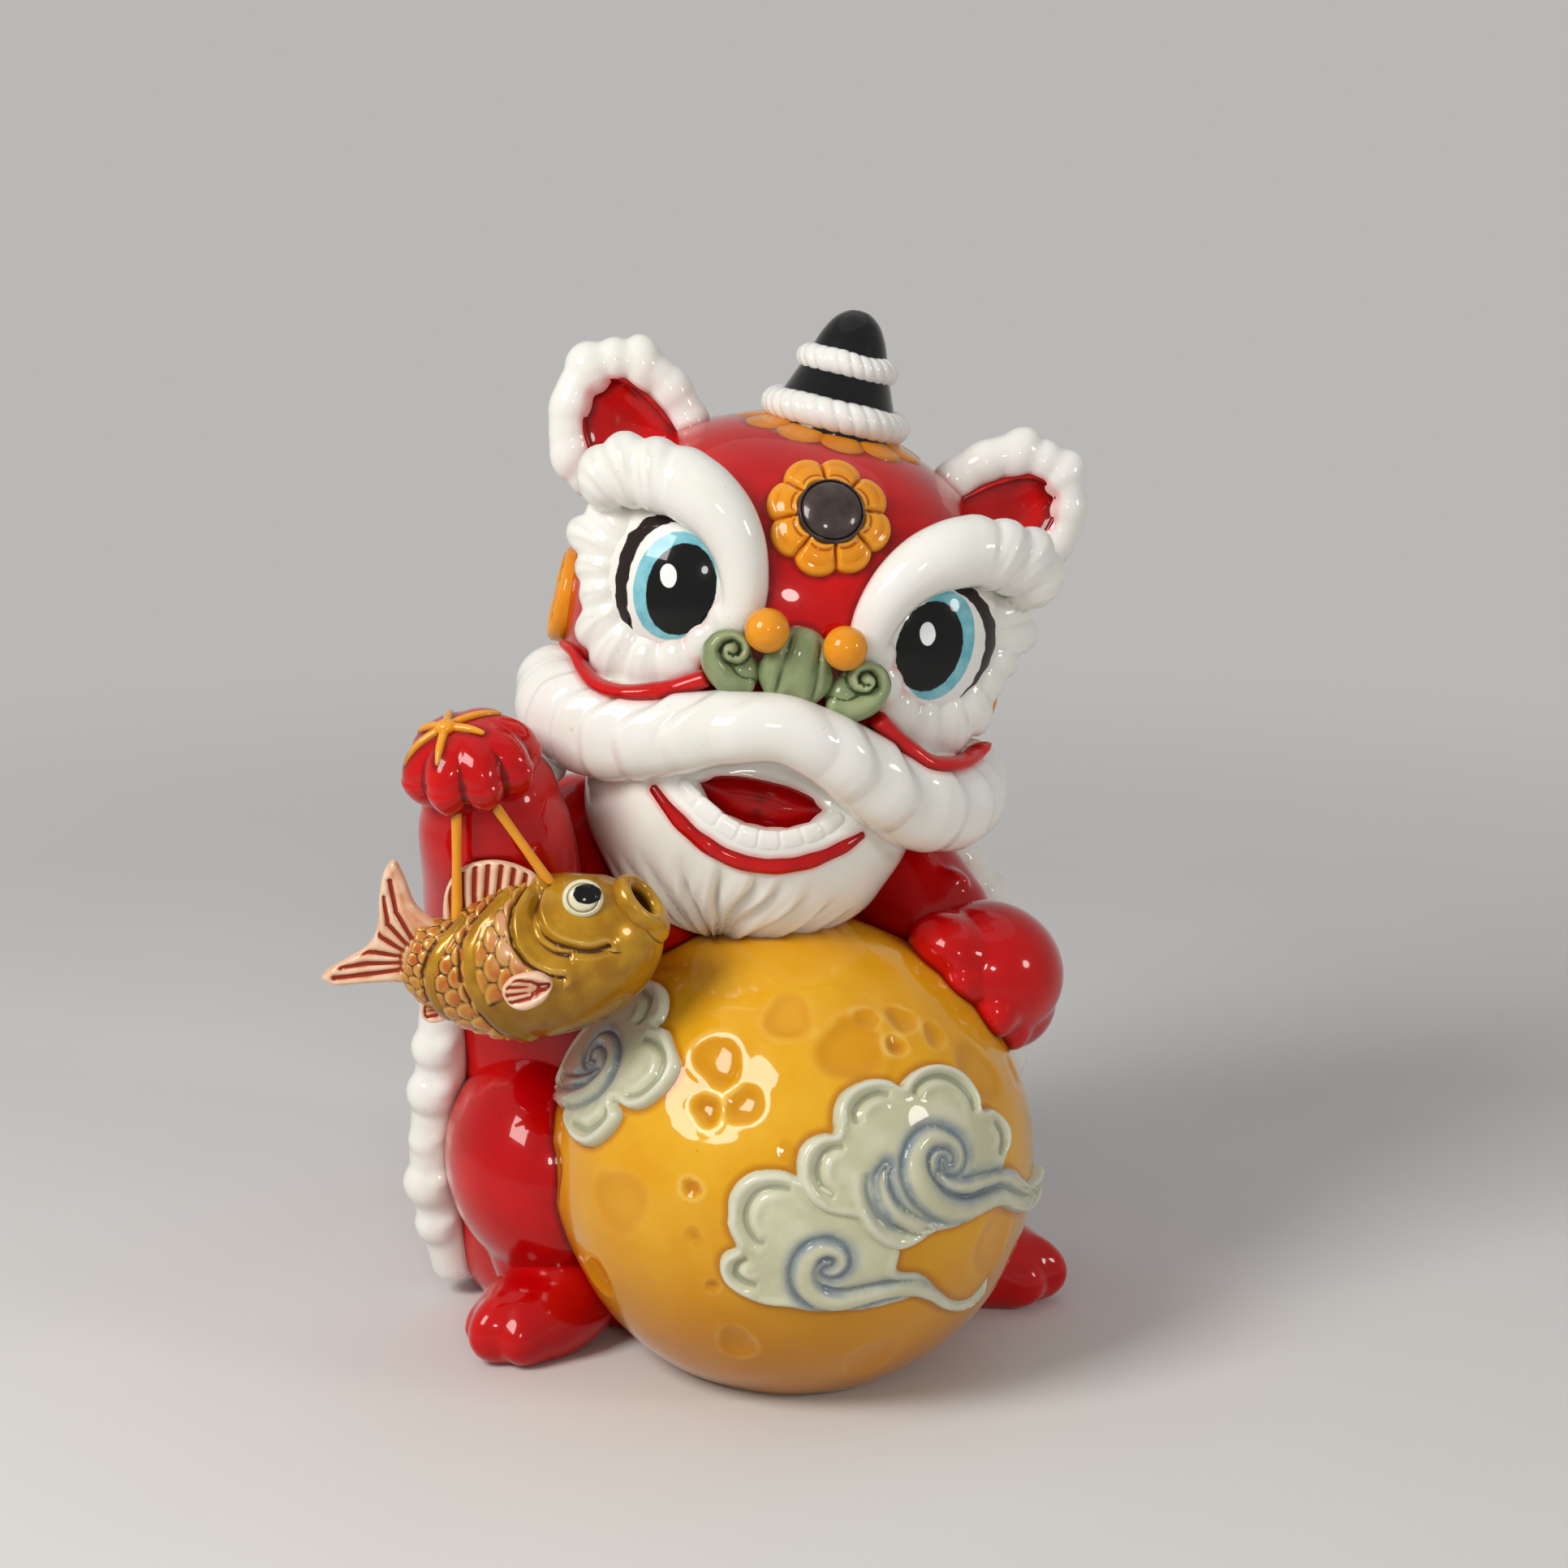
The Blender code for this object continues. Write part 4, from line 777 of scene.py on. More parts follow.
def make_cloud(name, middle, drawing, base, node):
    """A flat cloud with a rounded edge, soft inner grooves, and scrolls and wisps laid on it as rolls."""
    cloud = cloud_frame(*middle)
    outline = through(drawing["outline"], 6 * len(drawing["outline"]), closed=True)[0]
    grooves = [through(line, 60)[0] for line in drawing["grooves"]]
    rolls = [through(line, 150)[0] for line in drawing["rolls"]]

    def roll_gap(u, v, path):
        gap, along = to_line(u, v, path)
        radius = np.interp(along, np.arange(len(path)), path[:, 2])
        return gap, radius

    def inside(u, v):
        depths = [inside_outline(u, v, outline)]
        for path in rolls:
            gap, radius = roll_gap(u, v, path)
            depths.append(radius - gap)
        return np.max(depths, axis=0)

    def top(u, v, depth):
        within = inside_outline(u, v, outline)
        edge = np.clip(within / 1.7, 0, 1)
        plate = base * np.sqrt(np.clip(1 - (1 - edge) ** 2, 0, 1)) - 0.5 * (within < 0)
        plate += 0.5 * np.exp(-(((within - 1.6) / 1.1) ** 2))
        for line in grooves:
            gap, along = to_line(u, v, line)
            fade = np.sin(np.clip(along / (len(line) - 1), 0, 1) * math.pi) ** 0.4
            plate -= 1.0 * fade * np.exp(-((gap / 0.95) ** 2))
            plate += 0.35 * fade * np.exp(-(((gap - 2.1) / 1.0) ** 2))
        high = plate
        for path in rolls:
            gap, radius = roll_gap(u, v, path)
            share = np.clip(gap / radius, 0, 1)
            rise = base * 0.5 * np.minimum(radius / 1.4,
                                           1) + radius * 0.72 * np.sqrt(np.clip(1 - share**2, 0, 1)) + 0.1
            beside = 0.7 * np.exp(-((np.maximum(gap - radius, 0) / 0.9) ** 2)) * (gap > radius)
            high = np.where(gap < radius, np.maximum(rise, high - 0.9 * (1 - share)), high - beside)
        return np.maximum(high, -0.6)

    reach = np.vstack([outline[:, :2]] + [path[:, :2] for path in rolls])
    box = (reach[:, 0].min() - 2, reach[:, 0].max() + 2, reach[:, 1].min() - 2, reach[:, 1].max() + 2)
    made = slab(name, inside, 0.3, box, top, lambda u, v, d: np.full_like(u, -2.2), lambda u, v,
                h: wrapped(cloud, u, v, h))
    direction = unit(points_of(made) - MOON_CENTRE)
    angle = np.arccos(np.clip(direction @ cloud[0], -1, 1))
    scale = MOON_RADIUS * angle / np.maximum(np.sin(angle), 1e-9)
    u, v = direction @ cloud[1] * scale, direction @ cloud[2] * scale
    # Marks the blue-grey painted shade close round each scroll and wisp, fading along its tail
    shade = np.zeros(len(u))
    for path in rolls:
        gap, along = to_line(u, v, path)
        edge_gap = gap - np.interp(along, np.arange(len(path)), path[:, 2])
        halo = np.exp(-((np.maximum(edge_gap,
                                    0) / 2.2) ** 2)) * np.exp(-((np.minimum(edge_gap, 0) / 1.1) ** 2))
        shade = np.maximum(shade, halo * (1 - 0.75 * ease(along / (len(path) - 1), 0.35, 0.95)))
    smooth(made, 3)
    mark(made, "curl", shade)
    keep(made, "celadon_glaze", node, rounds=3)


# Where each cloud's points were picked on the photo: the middle that the cloud is drawn about, as
# (longitude, latitude), the corner of a crop in the photo's pixels, and how many times the crop was enlarged
CLOUD_CROPS = {
    "upper": ((16, 12), (960, 1300), 3.0),
    "lower": ((-6, -7), (880, 1430), 2.8),
    "side": ((-80, 32), (670, 1200), 3.6),
}


def photo_camera():
    """The photo's camera: its place from the moon's middle in millimetres, and its right, up and back."""
    turn, rise = math.radians(PHOTO_TURN), math.radians(PHOTO_RISE)
    back = np.array([math.sin(turn) * math.cos(rise), -math.cos(turn) * math.cos(rise), math.sin(rise)])
    right = np.array([math.cos(turn), math.sin(turn), 0.0])
    up = np.cross(back, right)
    aside, below = MOON_PIXEL[0] - PHOTO_PIXELS / 2, MOON_PIXEL[1] - PHOTO_PIXELS / 2
    eye = PHOTO_DISTANCE * (back - right * aside / PHOTO_FOCAL + up * below / PHOTO_FOCAL)
    return eye, right, up, back


def seen_on_moon(across, down):
    """The direction from the moon's middle to the spot on it that a pixel of the photo shows."""
    eye, right, up, back = photo_camera()
    aside, below = across - PHOTO_PIXELS / 2, down - PHOTO_PIXELS / 2
    sight = unit(right * aside / PHOTO_FOCAL - up * below / PHOTO_FOCAL - back)
    nearest = eye @ sight
    inside = max(nearest**2 - eye @ eye + MOON_RADIUS**2, 0)
    return unit(eye - sight * (nearest + math.sqrt(inside)))


def picked_width(crop, pixels):
    """A width picked on a cloud's crop, in millimetres to the nearest 0.01."""
    return round(pixels * PHOTO_DISTANCE / PHOTO_FOCAL / CLOUD_CROPS[crop][2], 2)


def picked(crop, picks):
    """Points of a cloud in millimetres about its middle, to the nearest 0.1, from places picked on its crop.

    A pick is (across, down) on the crop, then a roll's radius in millimetres, then (right, up), a shift in
    millimetres made after the pick. Outlines and grooves have no radius.
    """
    view, corner, enlarged = CLOUD_CROPS[crop]
    middle, east, north = cloud_frame(*view)
    points = []
    for pick in picks:
        direction = seen_on_moon(corner[0] + pick[0] / enlarged, corner[1] + pick[1] / enlarged)
        angle = math.acos(min(direction @ middle, 1))
        scale = MOON_RADIUS * angle / max(math.sin(angle), 1e-9)
        radius = pick[2:3] if len(pick) % 2 else ()
        shift = pick[-2:] if len(pick) > 3 else (0, 0)
        u = round(round(direction @ east * scale, 1) + shift[0], 1)
        v = round(round(direction @ north * scale, 1) + shift[1], 1)
        points.append((u, v, *radius))
    return points


UPPER_CLOUD = {
    "outline": picked("upper", (
        (62, 430), (60, 390), (75, 340), (110, 305), (160, 285), (196, 284), (195, 240), (200, 190),
        (225, 140), (275, 105), (340, 88), (400, 92), (437, 112), (455, 92), (490, 60), (540, 38),
        (600, 40), (655, 65), (700, 115), (725, 165), (731, 197), (765, 195), (800, 225), (825, 270),
        (828, 330), (812, 385), (812, 412), (850, 415), (890, 450), (915, 472), (932, 440), (940, 400),
        (946, 440, -0.8, 0), (940, 500, -1, 0.3), (915, 560, 0, 0.2), (880, 587, 0, 0.2),
        (850, 582, 0, 0.2), (810, 562), (760, 575), (700, 608), (640, 635), (580, 648), (520, 680),
        (470, 708), (420, 718), (360, 695), (310, 650), (280, 608), (230, 597), (170, 585), (120, 555),
        (85, 510), (65, 465),
    )),
    "grooves": (
        picked("upper", (
            (235, 340), (190, 345), (155, 375), (140, 425), (155, 480), (200, 520),
        )),
        picked("upper", (
            (278, 255, 0, -0.5), (272, 210, 0, -0.2), (300, 165, 0, -0.4), (350, 140, 0, -0.5),
            (395, 145, 0, -0.6),
        )),
        picked("upper", (
            (480, 150, 0, -0.3), (490, 115, 0, -0.4), (530, 80, 0, -0.6), (580, 75, 0, -0.6),
            (640, 100, -0.3, -0.4), (685, 150, -0.4, -0.3), (700, 215, -0.2, 0),
        )),
        picked("upper", (
            (768, 240, 0, -0.2), (795, 280, -0.2, 0), (800, 330, -0.2, 0), (788, 375, 0, 0.2),
        )),
        picked("upper", (
            (322, 430, -0.2, 0), (322, 500, -0.3, 0), (350, 570, -0.3, 0), (400, 625, -0.3, 0),
            (465, 650, 0, -0.2),
        )),
    ),
    "rolls": (
        picked("upper", (
            (591, 397, picked_width("upper", 11)), (600, 418, picked_width("upper", 14)),
            (628, 420, picked_width("upper", 17)), (648, 392, 1.25), (640, 345, 1.5),
            (600, 312, 1.75), (545, 308, 2.1), (503, 345, 2.4), (488, 400, 2.7), (500, 460, 2.95),
            (540, 520, 3), (600, 562, 2.8, 0, 0.2), (670, 570, 2.4, 0, 0.3), (735, 545, 2, 0, 0.1),
            (795, 520, 1.7), (845, 540, 1.5, 0, 0.2), (880, 545, 1.3, 0, 0.1), (915, 515, 0.9),
            (938, 455, 0.45, -1.7, 0),
        )),
        picked("upper", (
            (580, 445, 0.95), (615, 478, 1.4), (675, 485, 1.7), (740, 460, 1.6, 0, -0.2),
            (805, 436, 1.4, 0, -0.7), (855, 455, 1.25, 0, -0.8), (900, 492, 0.9, 0, -0.2),
            (930, 490, 0.45, -1.8, 0.4),
        )),
        picked("upper", (
            (385, 415, 0.8), (368, 460, 1.3), (385, 530, 1.6), (430, 588, 1.7), (490, 622, 1.5),
            (550, 640, 0.8, 0, 0.2),
        )),
    ),
}
LOWER_CLOUD = {
    "outline": picked("lower", (
        (45, 180), (50, 120), (80, 70), (130, 38), (190, 28), (245, 32), (290, 50), (330, 60), (420, 90),
        (520, 150), (600, 220), (640, 300), (632, 372), (700, 383), (745, 408), (785, 450), (830, 478),
        (880, 472), (920, 430), (945, 390), (925, 450, 0, 0.9), (900, 478, 0, 0.2), (860, 510, 0, 0.2),
        (820, 521, 0, 0.2), (780, 507), (740, 482), (690, 471), (640, 480), (560, 500), (480, 515),
        (400, 521), (330, 516), (260, 502), (180, 495), (110, 470), (50, 430), (22, 390), (18, 340),
        (38, 312), (72, 295), (52, 250), (42, 210),
    )),
    "grooves": (
        picked("lower", (
            (268, 95), (200, 92), (145, 115), (115, 165), (115, 220), (145, 270), (180, 282),
        )),
        picked("lower", (
            (120, 328), (86, 350), (78, 385), (108, 412), (155, 424),
        )),
    ),
    "rolls": (
        picked("lower", (
            (385, 378, 0.85), (412, 376, 1.15), (436, 350, 1.35), (428, 315, 1.6), (385, 298, 1.85),
            (338, 315, 2.1), (310, 365, 2.35), (318, 425, 2.45), (365, 465, 2.45), (430, 478, 2.3, 0, 0.2),
            (500, 462, 2.05), (570, 440, 1.9, 0, -0.4), (640, 422, 1.8, 0, -0.8),
            (700, 425, 1.75, 0, -0.8), (750, 452, 1.55, 0, -0.6), (800, 488, 1.25, 0, -0.4),
            (850, 492, picked_width("lower", 15), 0, -0.3),
            (900, 462, picked_width("lower", 10), 0, -0.4), (938, 405, 0.4, -0.4, -1),
        )),
    ),
}
SIDE_CLOUD = {
    "outline": picked("side", (
        (420, 60), (460, 38), (520, 45), (555, 90), (557, 160), (535, 215), (512, 238), (560, 250),
        (590, 320), (612, 400), (580, 480), (520, 550), (450, 600), (380, 603), (328, 572), (352, 610),
        (345, 655), (300, 720), (240, 765), (190, 767), (140, 732), (112, 675), (104, 620, 0, 0.4),
        (60, 600, 4.1, 1), (30, 570, 3.6, 1.4), (22, 535, 1, 3.1), (100, 380, 3.4, -0.7),
        (130, 320, 5.1, 0), (200, 250, 2, 1), (300, 160), (380, 90, 0, -0.5),
    )),
    "grooves": (
        picked("side", (
            (440, 75), (478, 120), (462, 190), (425, 240),
        )),
        picked("side", (
            (455, 298), (505, 315), (540, 375), (520, 460), (450, 530), (375, 565, 0, 0.5),
        )),
        picked("side", (
            (302, 592), (272, 650), (210, 692), (150, 662),
        )),
    ),
    "rolls": (
        picked("side", (
            (234, 407, 0.6), (218, 388, 0.75, 0.2, -0.5), (228, 335, 0.95, 0.2, -0.5), (265, 298, 1.2),
            (308, 315, 1.5, -0.4, 0.3), (318, 385, 1.8, 0, 0.5), (285, 465, 2.05, 0.2, 0.2),
            (215, 525, 2.15, 0.5, 0.2), (140, 560, 1.9, 0.4, 0.6), (80, 562, 1.5, 2, 1.1),
            (42, 535, 0.8, 3, 1.4),
        )),
        picked("side", (
            (250, 440, picked_width("side", 14)), (205, 478, 1, 0, 0.4), (140, 490, 1.05, 1, 0.8),
            (85, 475, 0.8, 11, 1.6),
            (50, 480, 0.45, 6, 2.3),
        )),
    ),
}


def make_clouds():
    make_cloud("cloud_lower", CLOUD_CROPS["lower"][0], LOWER_CLOUD, 1.15, "moon_cloud_lower")
    make_cloud("cloud_upper", CLOUD_CROPS["upper"][0], UPPER_CLOUD, 2.0, "moon_cloud_upper")
    make_cloud("cloud_side", CLOUD_CROPS["side"][0], SIDE_CLOUD, 1.4, "moon_cloud_side")


# Head


def head_surface(directions):
    spread_out = (np.abs(directions) / HEAD_SIZE) ** HEAD_SQUARENESS
    return directions / spread_out.sum(-1, keepdims=True) ** (1 / HEAD_SQUARENESS)


def make_head():
    def shape(directions):
        points = head_surface(directions)
        points = points * (1 + 0.004 * waves(points, 23, 2.0))[:, None]
        return in_head(points)

    keep(globe("head_dome", 6, shape), "red_glaze", "head")


EYE_CENTRE = np.array([25.3, -30.5, 6.0])
EYE_AHEAD = unit((math.sin(math.radians(25)), -math.cos(math.radians(25)), 0.03))
EYE_ACROSS = unit(np.cross((0, 0, 1), EYE_AHEAD))
EYE_ABOVE = np.cross(EYE_AHEAD, EYE_ACROSS)
# The brow of the lion's left side from the nose up and outwards, as (x, y, z, half width, half depth)
BROW = ((13.4, -45.6, 0.5, 4.4, 4.2), (13.5, -46.0, 5, 4.8, 4.6), (14.7, -46.4, 10, 5.2, 5.2),
        (17.2, -46.4, 15.4, 5.9, 6.0),
        (21.2, -45.8, 20.2, 6.7, 6.7), (26, -44.5, 23.4, 7.3, 7.2), (30.8, -42.5, 25.2, 7.6, 7.4))
# Round lobes that end the brow, as (x, y, z, half sizes across, in depth and along, lean in degrees)
BROW_LOBES = ((35.8, -40.6, 25.4, 6.4, 7.4, 8.2, 24), (41.6, -37.3, 25.0, 6.1, 7.2, 8.3, 30),
              (46.2, -34.2, 22.2, 5.8, 6.6, 7.0, 22))
# Lobes of the frill round the eye, as (degrees from the outer side, edge, half width, start)
FRILL = ((26, 24.2, 5.2, 8.5), (9, 26.0, 5.3, 9), (-10, 21.6, 4.7, 10), (-29, 21.0, 5.2, 10.5),
         (-48, 25.4, 5.5, 11),
         (-67, 27.6, 6.3, 12.5), (-88, 27.0, 6.8, 14.3), (-110, 25.0, 6.6, 13.6), (-134, 21.2, 6.4, 12.3),
         (-157, 19.4, 5.8, 12.0))


def in_eye(across, above, ahead):
    return EYE_CENTRE + EYE_ACROSS * across + EYE_ABOVE * above + EYE_AHEAD * ahead


def make_eyes():
    for side_name, side in SIDES.items():
        def shape(d, side=side):
            out = d[:, 1:2] * EYE_AHEAD * 14.6
            points = EYE_CENTRE + d[:, :1] * EYE_ACROSS * 19 + out + d[:, 2:] * EYE_ABOVE * 20
            return in_head(points * (side, 1, 1))

        eye = globe(side_name + "_eyeball", 6, shape)
        local = turned_by(HEAD_PLACE.inverted(), points_of(eye)) * (side, 1, 1)
        paint_eye(eye, local[:, 0], local[:, 2], side)
        keep(eye, "white_glaze", side_name + "_eye", glaze="eye")
        make_eye_fur(side_name, side)


def make_eye_fur(side_name, side):
    """A thick brow that ends in three round lobes, over a frill of softer lobes flush with the eye."""
    parts = [roll("brow", BROW, 120, 48, (0.05, -1, 0.05), blunt=1.0)]
    for x, y, z, wide, deep, tall, lean in BROW_LOBES:
        parts.append(lump((x, y, z), (wide, deep, tall), (0, lean, 0), 5))
    parts.append(globe("back", 5, lambda d: in_eye(d[:, :1] * 19, d[:, 1:2] * 20 - 1.5,
                                                   5.4 * np.sign(d[:, 2:]) * np.abs(d[:, 2:]) ** 0.6
                                                   + 5.4)))
    for degrees, edge, wide, start in FRILL:
        angle = math.radians(degrees)
        out = np.array([math.cos(angle), math.sin(angle)])
        middle, half = (edge + start) / 2 - 0.6, (edge - start) / 2 + 0.6

        def lobe(d, out=out, middle=middle, half=half, wide=wide):
            along = middle + half * d[:, :1]
            side_step = wide * (0.8 + 0.2 * d[:, :1]) * d[:, 1:2]
            across = along * out[0] - side_step * out[1]
            above = along * out[1] + side_step * out[0]
            return in_eye(across, above, 8.2 + 3.9 * d[:, 2:] - 0.012 * (along - 12) ** 2)

        parts.append(globe("lobe", 5, lobe))
    fur = melt(side_name + "_eye_locks", parts, 0.42, 28)
    points = points_of(fur)
    offset = points - EYE_CENTRE
    turn = np.arctan2(offset @ EYE_ABOVE, offset @ EYE_ACROSS)
    reach = np.hypot(offset @ EYE_ABOVE, offset @ EYE_ACROSS)
    strands = np.sin(turn * 52 + 1.6 * np.sin(reach / 4)) * ease(reach, 13,
                                                                 20) * ease(offset @ EYE_ACROSS, -6, 8)
    place_points(fur, in_head((points - EYE_AHEAD * 0.07 * strands[:, None]) * (side, 1, 1)))
    keep(fur, "white_glaze", side_name + "_eye_fur")


def oval(x, z, centre, half, lean=0.0):
    """Roughly the distance inside an oval, in millimetres."""
    dx, dz = x - centre[0] - lean * (z - centre[1]), z - centre[1]
    return (1 - np.sqrt((dx / half[0]) ** 2 + (dz / half[1]) ** 2)) * min(half)


def paint_eye(eye, x, z, side):
    """Marks where the pupil, the blue of the eye, its white glint and the lash stroke are painted."""
    iris = ((27.6, 4.3), (8.3, 11.3)) if side < 0 else ((28.4, 4.4), (7.4, 11.6))
    glint = (29.5, 6.2) if side < 0 else (25.1, 6.6)
    lashes = {-1: ((28.0, 18.3), (31.8, 17.8), (35.3, 15.3), (37.6, 11.5), (38.4, 7.0), (38.2, 2.0),
                   (36.8, -3), (34.6, -6.6)),
              1: ((29.5, 17.2), (32.8, 16.3), (36.0, 13.9), (38.6, 10.6), (39.8, 6.5), (39.8, 1.9),
                  (38.8, -2.2), (36.8, -6.0))}
    mark(eye, "pupil", oval(x, z, (26.3, 4.0), (7.0, 9.6)))
    mark(eye, "iris", oval(x, z, *iris))
    mark(eye, "glint", oval(x, z, glint, (1.7, 2.4), -0.15 * side))
    gap, along = to_line(x, z, lashes[side])
    mark(eye, "lash", 1.35 - 0.6 * np.abs(along / 7 - 0.45) + 0.08 * np.sin(7 * along) - gap)


# Moustache from the middle to the lion's left end, as (x, y, z, half height, half depth)
MOUSTACHE_HALF = ((0, -52.5, -18.5, 7.2, 6.8), (12, -50.5, -21.1, 8.0, 7.4), (23, -44.5, -25.7, 9.3, 8.9),
                  (33, -36, -28.1, 11.2, 10.8), (42, -26, -26.9, 11.5, 11.4), (46, -16, -23, 8.2, 8.0))
# Creases between its locks on each side, counted outwards from the middle
MOUSTACHE_CREASES = {
    "right": ((0.5, 1.0, 0.6, 0.65), (1.15, 1.6, 0.7, 0.6), (1.85, 2.0, 0.7, 0.6), (2.5, 2.0, 0.6, 0.58),
              (3.1, 2.0, 0.5, 0.55),
              (3.65, 1.8, 0.4, 0.5), (4.2, 1.6, 0.3, 0.4)),
    "left": ((0.4, 0.6, 0.4, 0.7), (1.1, 1.3, 0.45, 0.6), (1.9, 2.0, 0.5, 0.6), (2.9, 1.9, 0.5, 0.55),
             (3.45, 1.75, 0.5, 0.45),
             (3.95, 1.7, 0.4, 0.4), (4.45, 1.4, 0.3, 0.35)),
}


def moustache_relief(place, theta):
    """Locks that lean as they come down over the roll, with faint strands between them."""
    down = np.sin(math.pi * np.minimum((1 + np.sin(theta)) / 2, 0.5))
    facing_front = np.clip(0.45 + 0.9 * np.cos(theta), 0.1, 1) * (1 - 0.5 * ease(np.sin(theta), 0.3, 0.95))
    out = np.abs(place - 5)
    cut = np.where(place < 5, creases(out, down, MOUSTACHE_CREASES["right"]),
                   creases(out, down, MOUSTACHE_CREASES["left"]))
    strands = 0.07 * np.sin(math.tau * 2.3 * (out - 0.4 * down) + 1.0) * ease(out, 0.3, 1.2)
    return (cut + strands) * facing_front


def make_moustache():
    left = list(MOUSTACHE_HALF)
    right = [(-row[0], *row[1:]) for row in left[:0:-1]]
    made = roll("moustache_roll", right + left, 420, 96, (0, -1, 0), moustache_relief, 0.8)
    smooth(made, 8)
    place_in_head(made)
    keep(made, "white_glaze", "moustache")


# Jaw, mouth and beard

JAW_CENTRE, JAW_HALF = np.array([0.0, -20.0, -39.0]), np.array([35.0, 29.0, 29.0])
MOUTH = ((-15.2, -33.4), (-10.8, -31.0), (-5.2, -29.8), (0, -29.6), (5.2, -29.8), (10.8, -31.0),
         (15.2, -33.4),
         (12.2, -37.0), (7.6, -39.7), (2.5, -40.9), (-2.5, -40.9), (-7.6, -39.7), (-12.2, -37.0))


def on_jaw(x, z, lift=0.0):
    """The jaw's front surface at this width and height, lifted off it."""
    rest = 1 - ((x - JAW_CENTRE[0]) / JAW_HALF[0]) ** 2 - ((z - JAW_CENTRE[2]) / JAW_HALF[2]) ** 2
    y = JAW_CENTRE[1] - JAW_HALF[1] * np.sqrt(np.clip(rest, 0, 1))
    point = np.stack(np.broadcast_arrays(x, y, z), -1)
    return point + unit((point - JAW_CENTRE) / JAW_HALF**2) * np.asarray(lift)[..., None]


BEARD_FOLDS = ((-74, 1.4, 4, 9), (-58, 1.7, 6, 10), (-41, 1.9, 6, 10), (-25, 1.8, 8, 9), (-12, 2.2, 7, 8),
               (2, 2.6, -1, 7),
               (13, 2.2, -7, 8), (28, 1.9, -8, 9), (44, 1.9, -7, 10), (61, 1.6, -5, 10), (76, 1.4, -4, 9))


def make_jaw():
    def shape(d):
        points = JAW_CENTRE + d * JAW_HALF
        x, z = points[:, 0], points[:, 2]
        turn = np.degrees(np.arctan2(d[:, 0], -d[:, 1]))
        low = ease(-z - 0.012 * x**2, 44, 58)
        sway = 2.2 * np.sin(z / 3.6 + turn / 13)
        lift = 1.0 * low - creases(turn + sway, ease(-z, 46, 66), BEARD_FOLDS) * low
        lift += 0.12 * np.sin(turn * 0.9 + 3 * np.sin(z / 6)) * low
        cheek = ease(np.abs(x), 15, 26) * (1 - low)
        lift += cheek * (0.6 - 0.9 * np.abs(np.sin(x / 6.5 + z / 14)) ** 3)
        front = ease(-points[:, 1], 30, 40)
        funnel = 1 - np.clip((x / 21) ** 2 + ((z + 32.5) / 10.5) ** 2, 0, 1)
        lift -= front * 4.2 * ease(funnel, 0, 0.85)
        lift -= front * 7.5 * ease(inside_outline(x, z, MOUTH), -0.5, 2.0)
        return in_head(points + unit(d / JAW_HALF) * lift[:, None])

    keep(globe("beard_and_jaw", 7, shape), "white_glaze", "beard", rounds=3)
    make_mouth()


def make_mouth():
    outline = through(MOUTH, 120, closed=True)[0]
    middle = np.array([0.0, -35.5])
    rings = []
    for scale, lift in ((0.3, -13.0), (1.0, -13.0), (1.04, -8.0), (1.06, -4.6), (1.03, -4.0), (0.98, -4.1),
                        (0.9, -5.2),
                        (0.75, -6.8), (0.5, -8.0), (0.25, -8.4)):
        flat = middle + (outline - middle) * scale
        rings.append(on_jaw(flat[:, 0], flat[:, 1], np.full(len(flat), lift)))
    lining = loft("mouth_lining_dish", in_head(np.array(rings)))
    use(lining, "SUBSURF", levels=1, render_levels=1)
    keep(lining, "red_glaze", "mouth_lining")
    x = np.linspace(-22, 22, 15)
    z = -47.7 + 0.0209 * x**2
    spots = on_jaw(x, z, 0.1 + 0.0 * x)
    high = np.interp(np.abs(x), (0, 10, 18, 22), (1.75, 1.7, 1.45, 1.0)) + 0.12 * np.sin(x * 1.1)
    lip = roll("lower_lip_line", np.column_stack([spots, high, high * 0.75]), 120, 24, (0, -1, -0.3))
    place_in_head(lip)
    keep(lip, "red_glaze", "lower_lip")
    x = np.linspace(-17, 17, 13)
    spots = on_jaw(x, -43.0 + 0.027 * x**2, -1.15 + 0 * x)
    high = np.interp(np.abs(x), (0, 12, 17), (2.75, 2.5, 1.6))
    gaps = (1.2, 2.95, 4.6, 6.2, 7.9, 9.5, 10.9)

    def between(place, theta):
        nearest = np.min([np.abs(place - gap - 0.05 * np.sin(theta)) for gap in gaps], axis=0)
        return 0.24 * np.clip(1 - nearest / 0.3, 0, 1) ** 1.5

    row = roll("lower_teeth_row", np.column_stack([spots, high, high * 0.5]), 420, 36, (0, -1, -0.2),
               between)
    place_in_head(row)
    keep(row, "white_glaze", "lower_teeth")


# Red skin that shows between the eye fur and the moustache from its outer end, as (x, y, z, half height)
CHEEK_BANDS = {
    "right": ((-44.6, -26.5, -14.6, 1.1), (-43.2, -31.0, -15.4, 1.4), (-41.2, -35.6, -17.6, 1.5),
              (-38.6, -40.2, -19.3, 1.6),
              (-35.2, -43.2, -19.7, 1.7), (-31.4, -45.9, -19.0, 1.8), (-27.2, -47.4, -17.6, 2.0),
              (-23.1, -47.8, -16.0, 2.1),
              (-20.0, -48.8, -14.0, 2.1), (-17.6, -49.6, -12.4, 2.0)),
    "left": ((44.4, -29.6, -15.6, 1.0), (43.9, -31.4, -16.2, 1.4), (42.6, -33.6, -17.3, 1.5),
             (39.8, -38.6, -18.7, 1.6),
             (36.1, -42.8, -19.4, 1.7), (32.1, -45.3, -19.5, 1.8), (27.9, -46.2, -17.9, 2.0),
             (23.4, -47.6, -15.7, 2.1),
             (19.2, -49.4, -12.9, 2.1)),
}


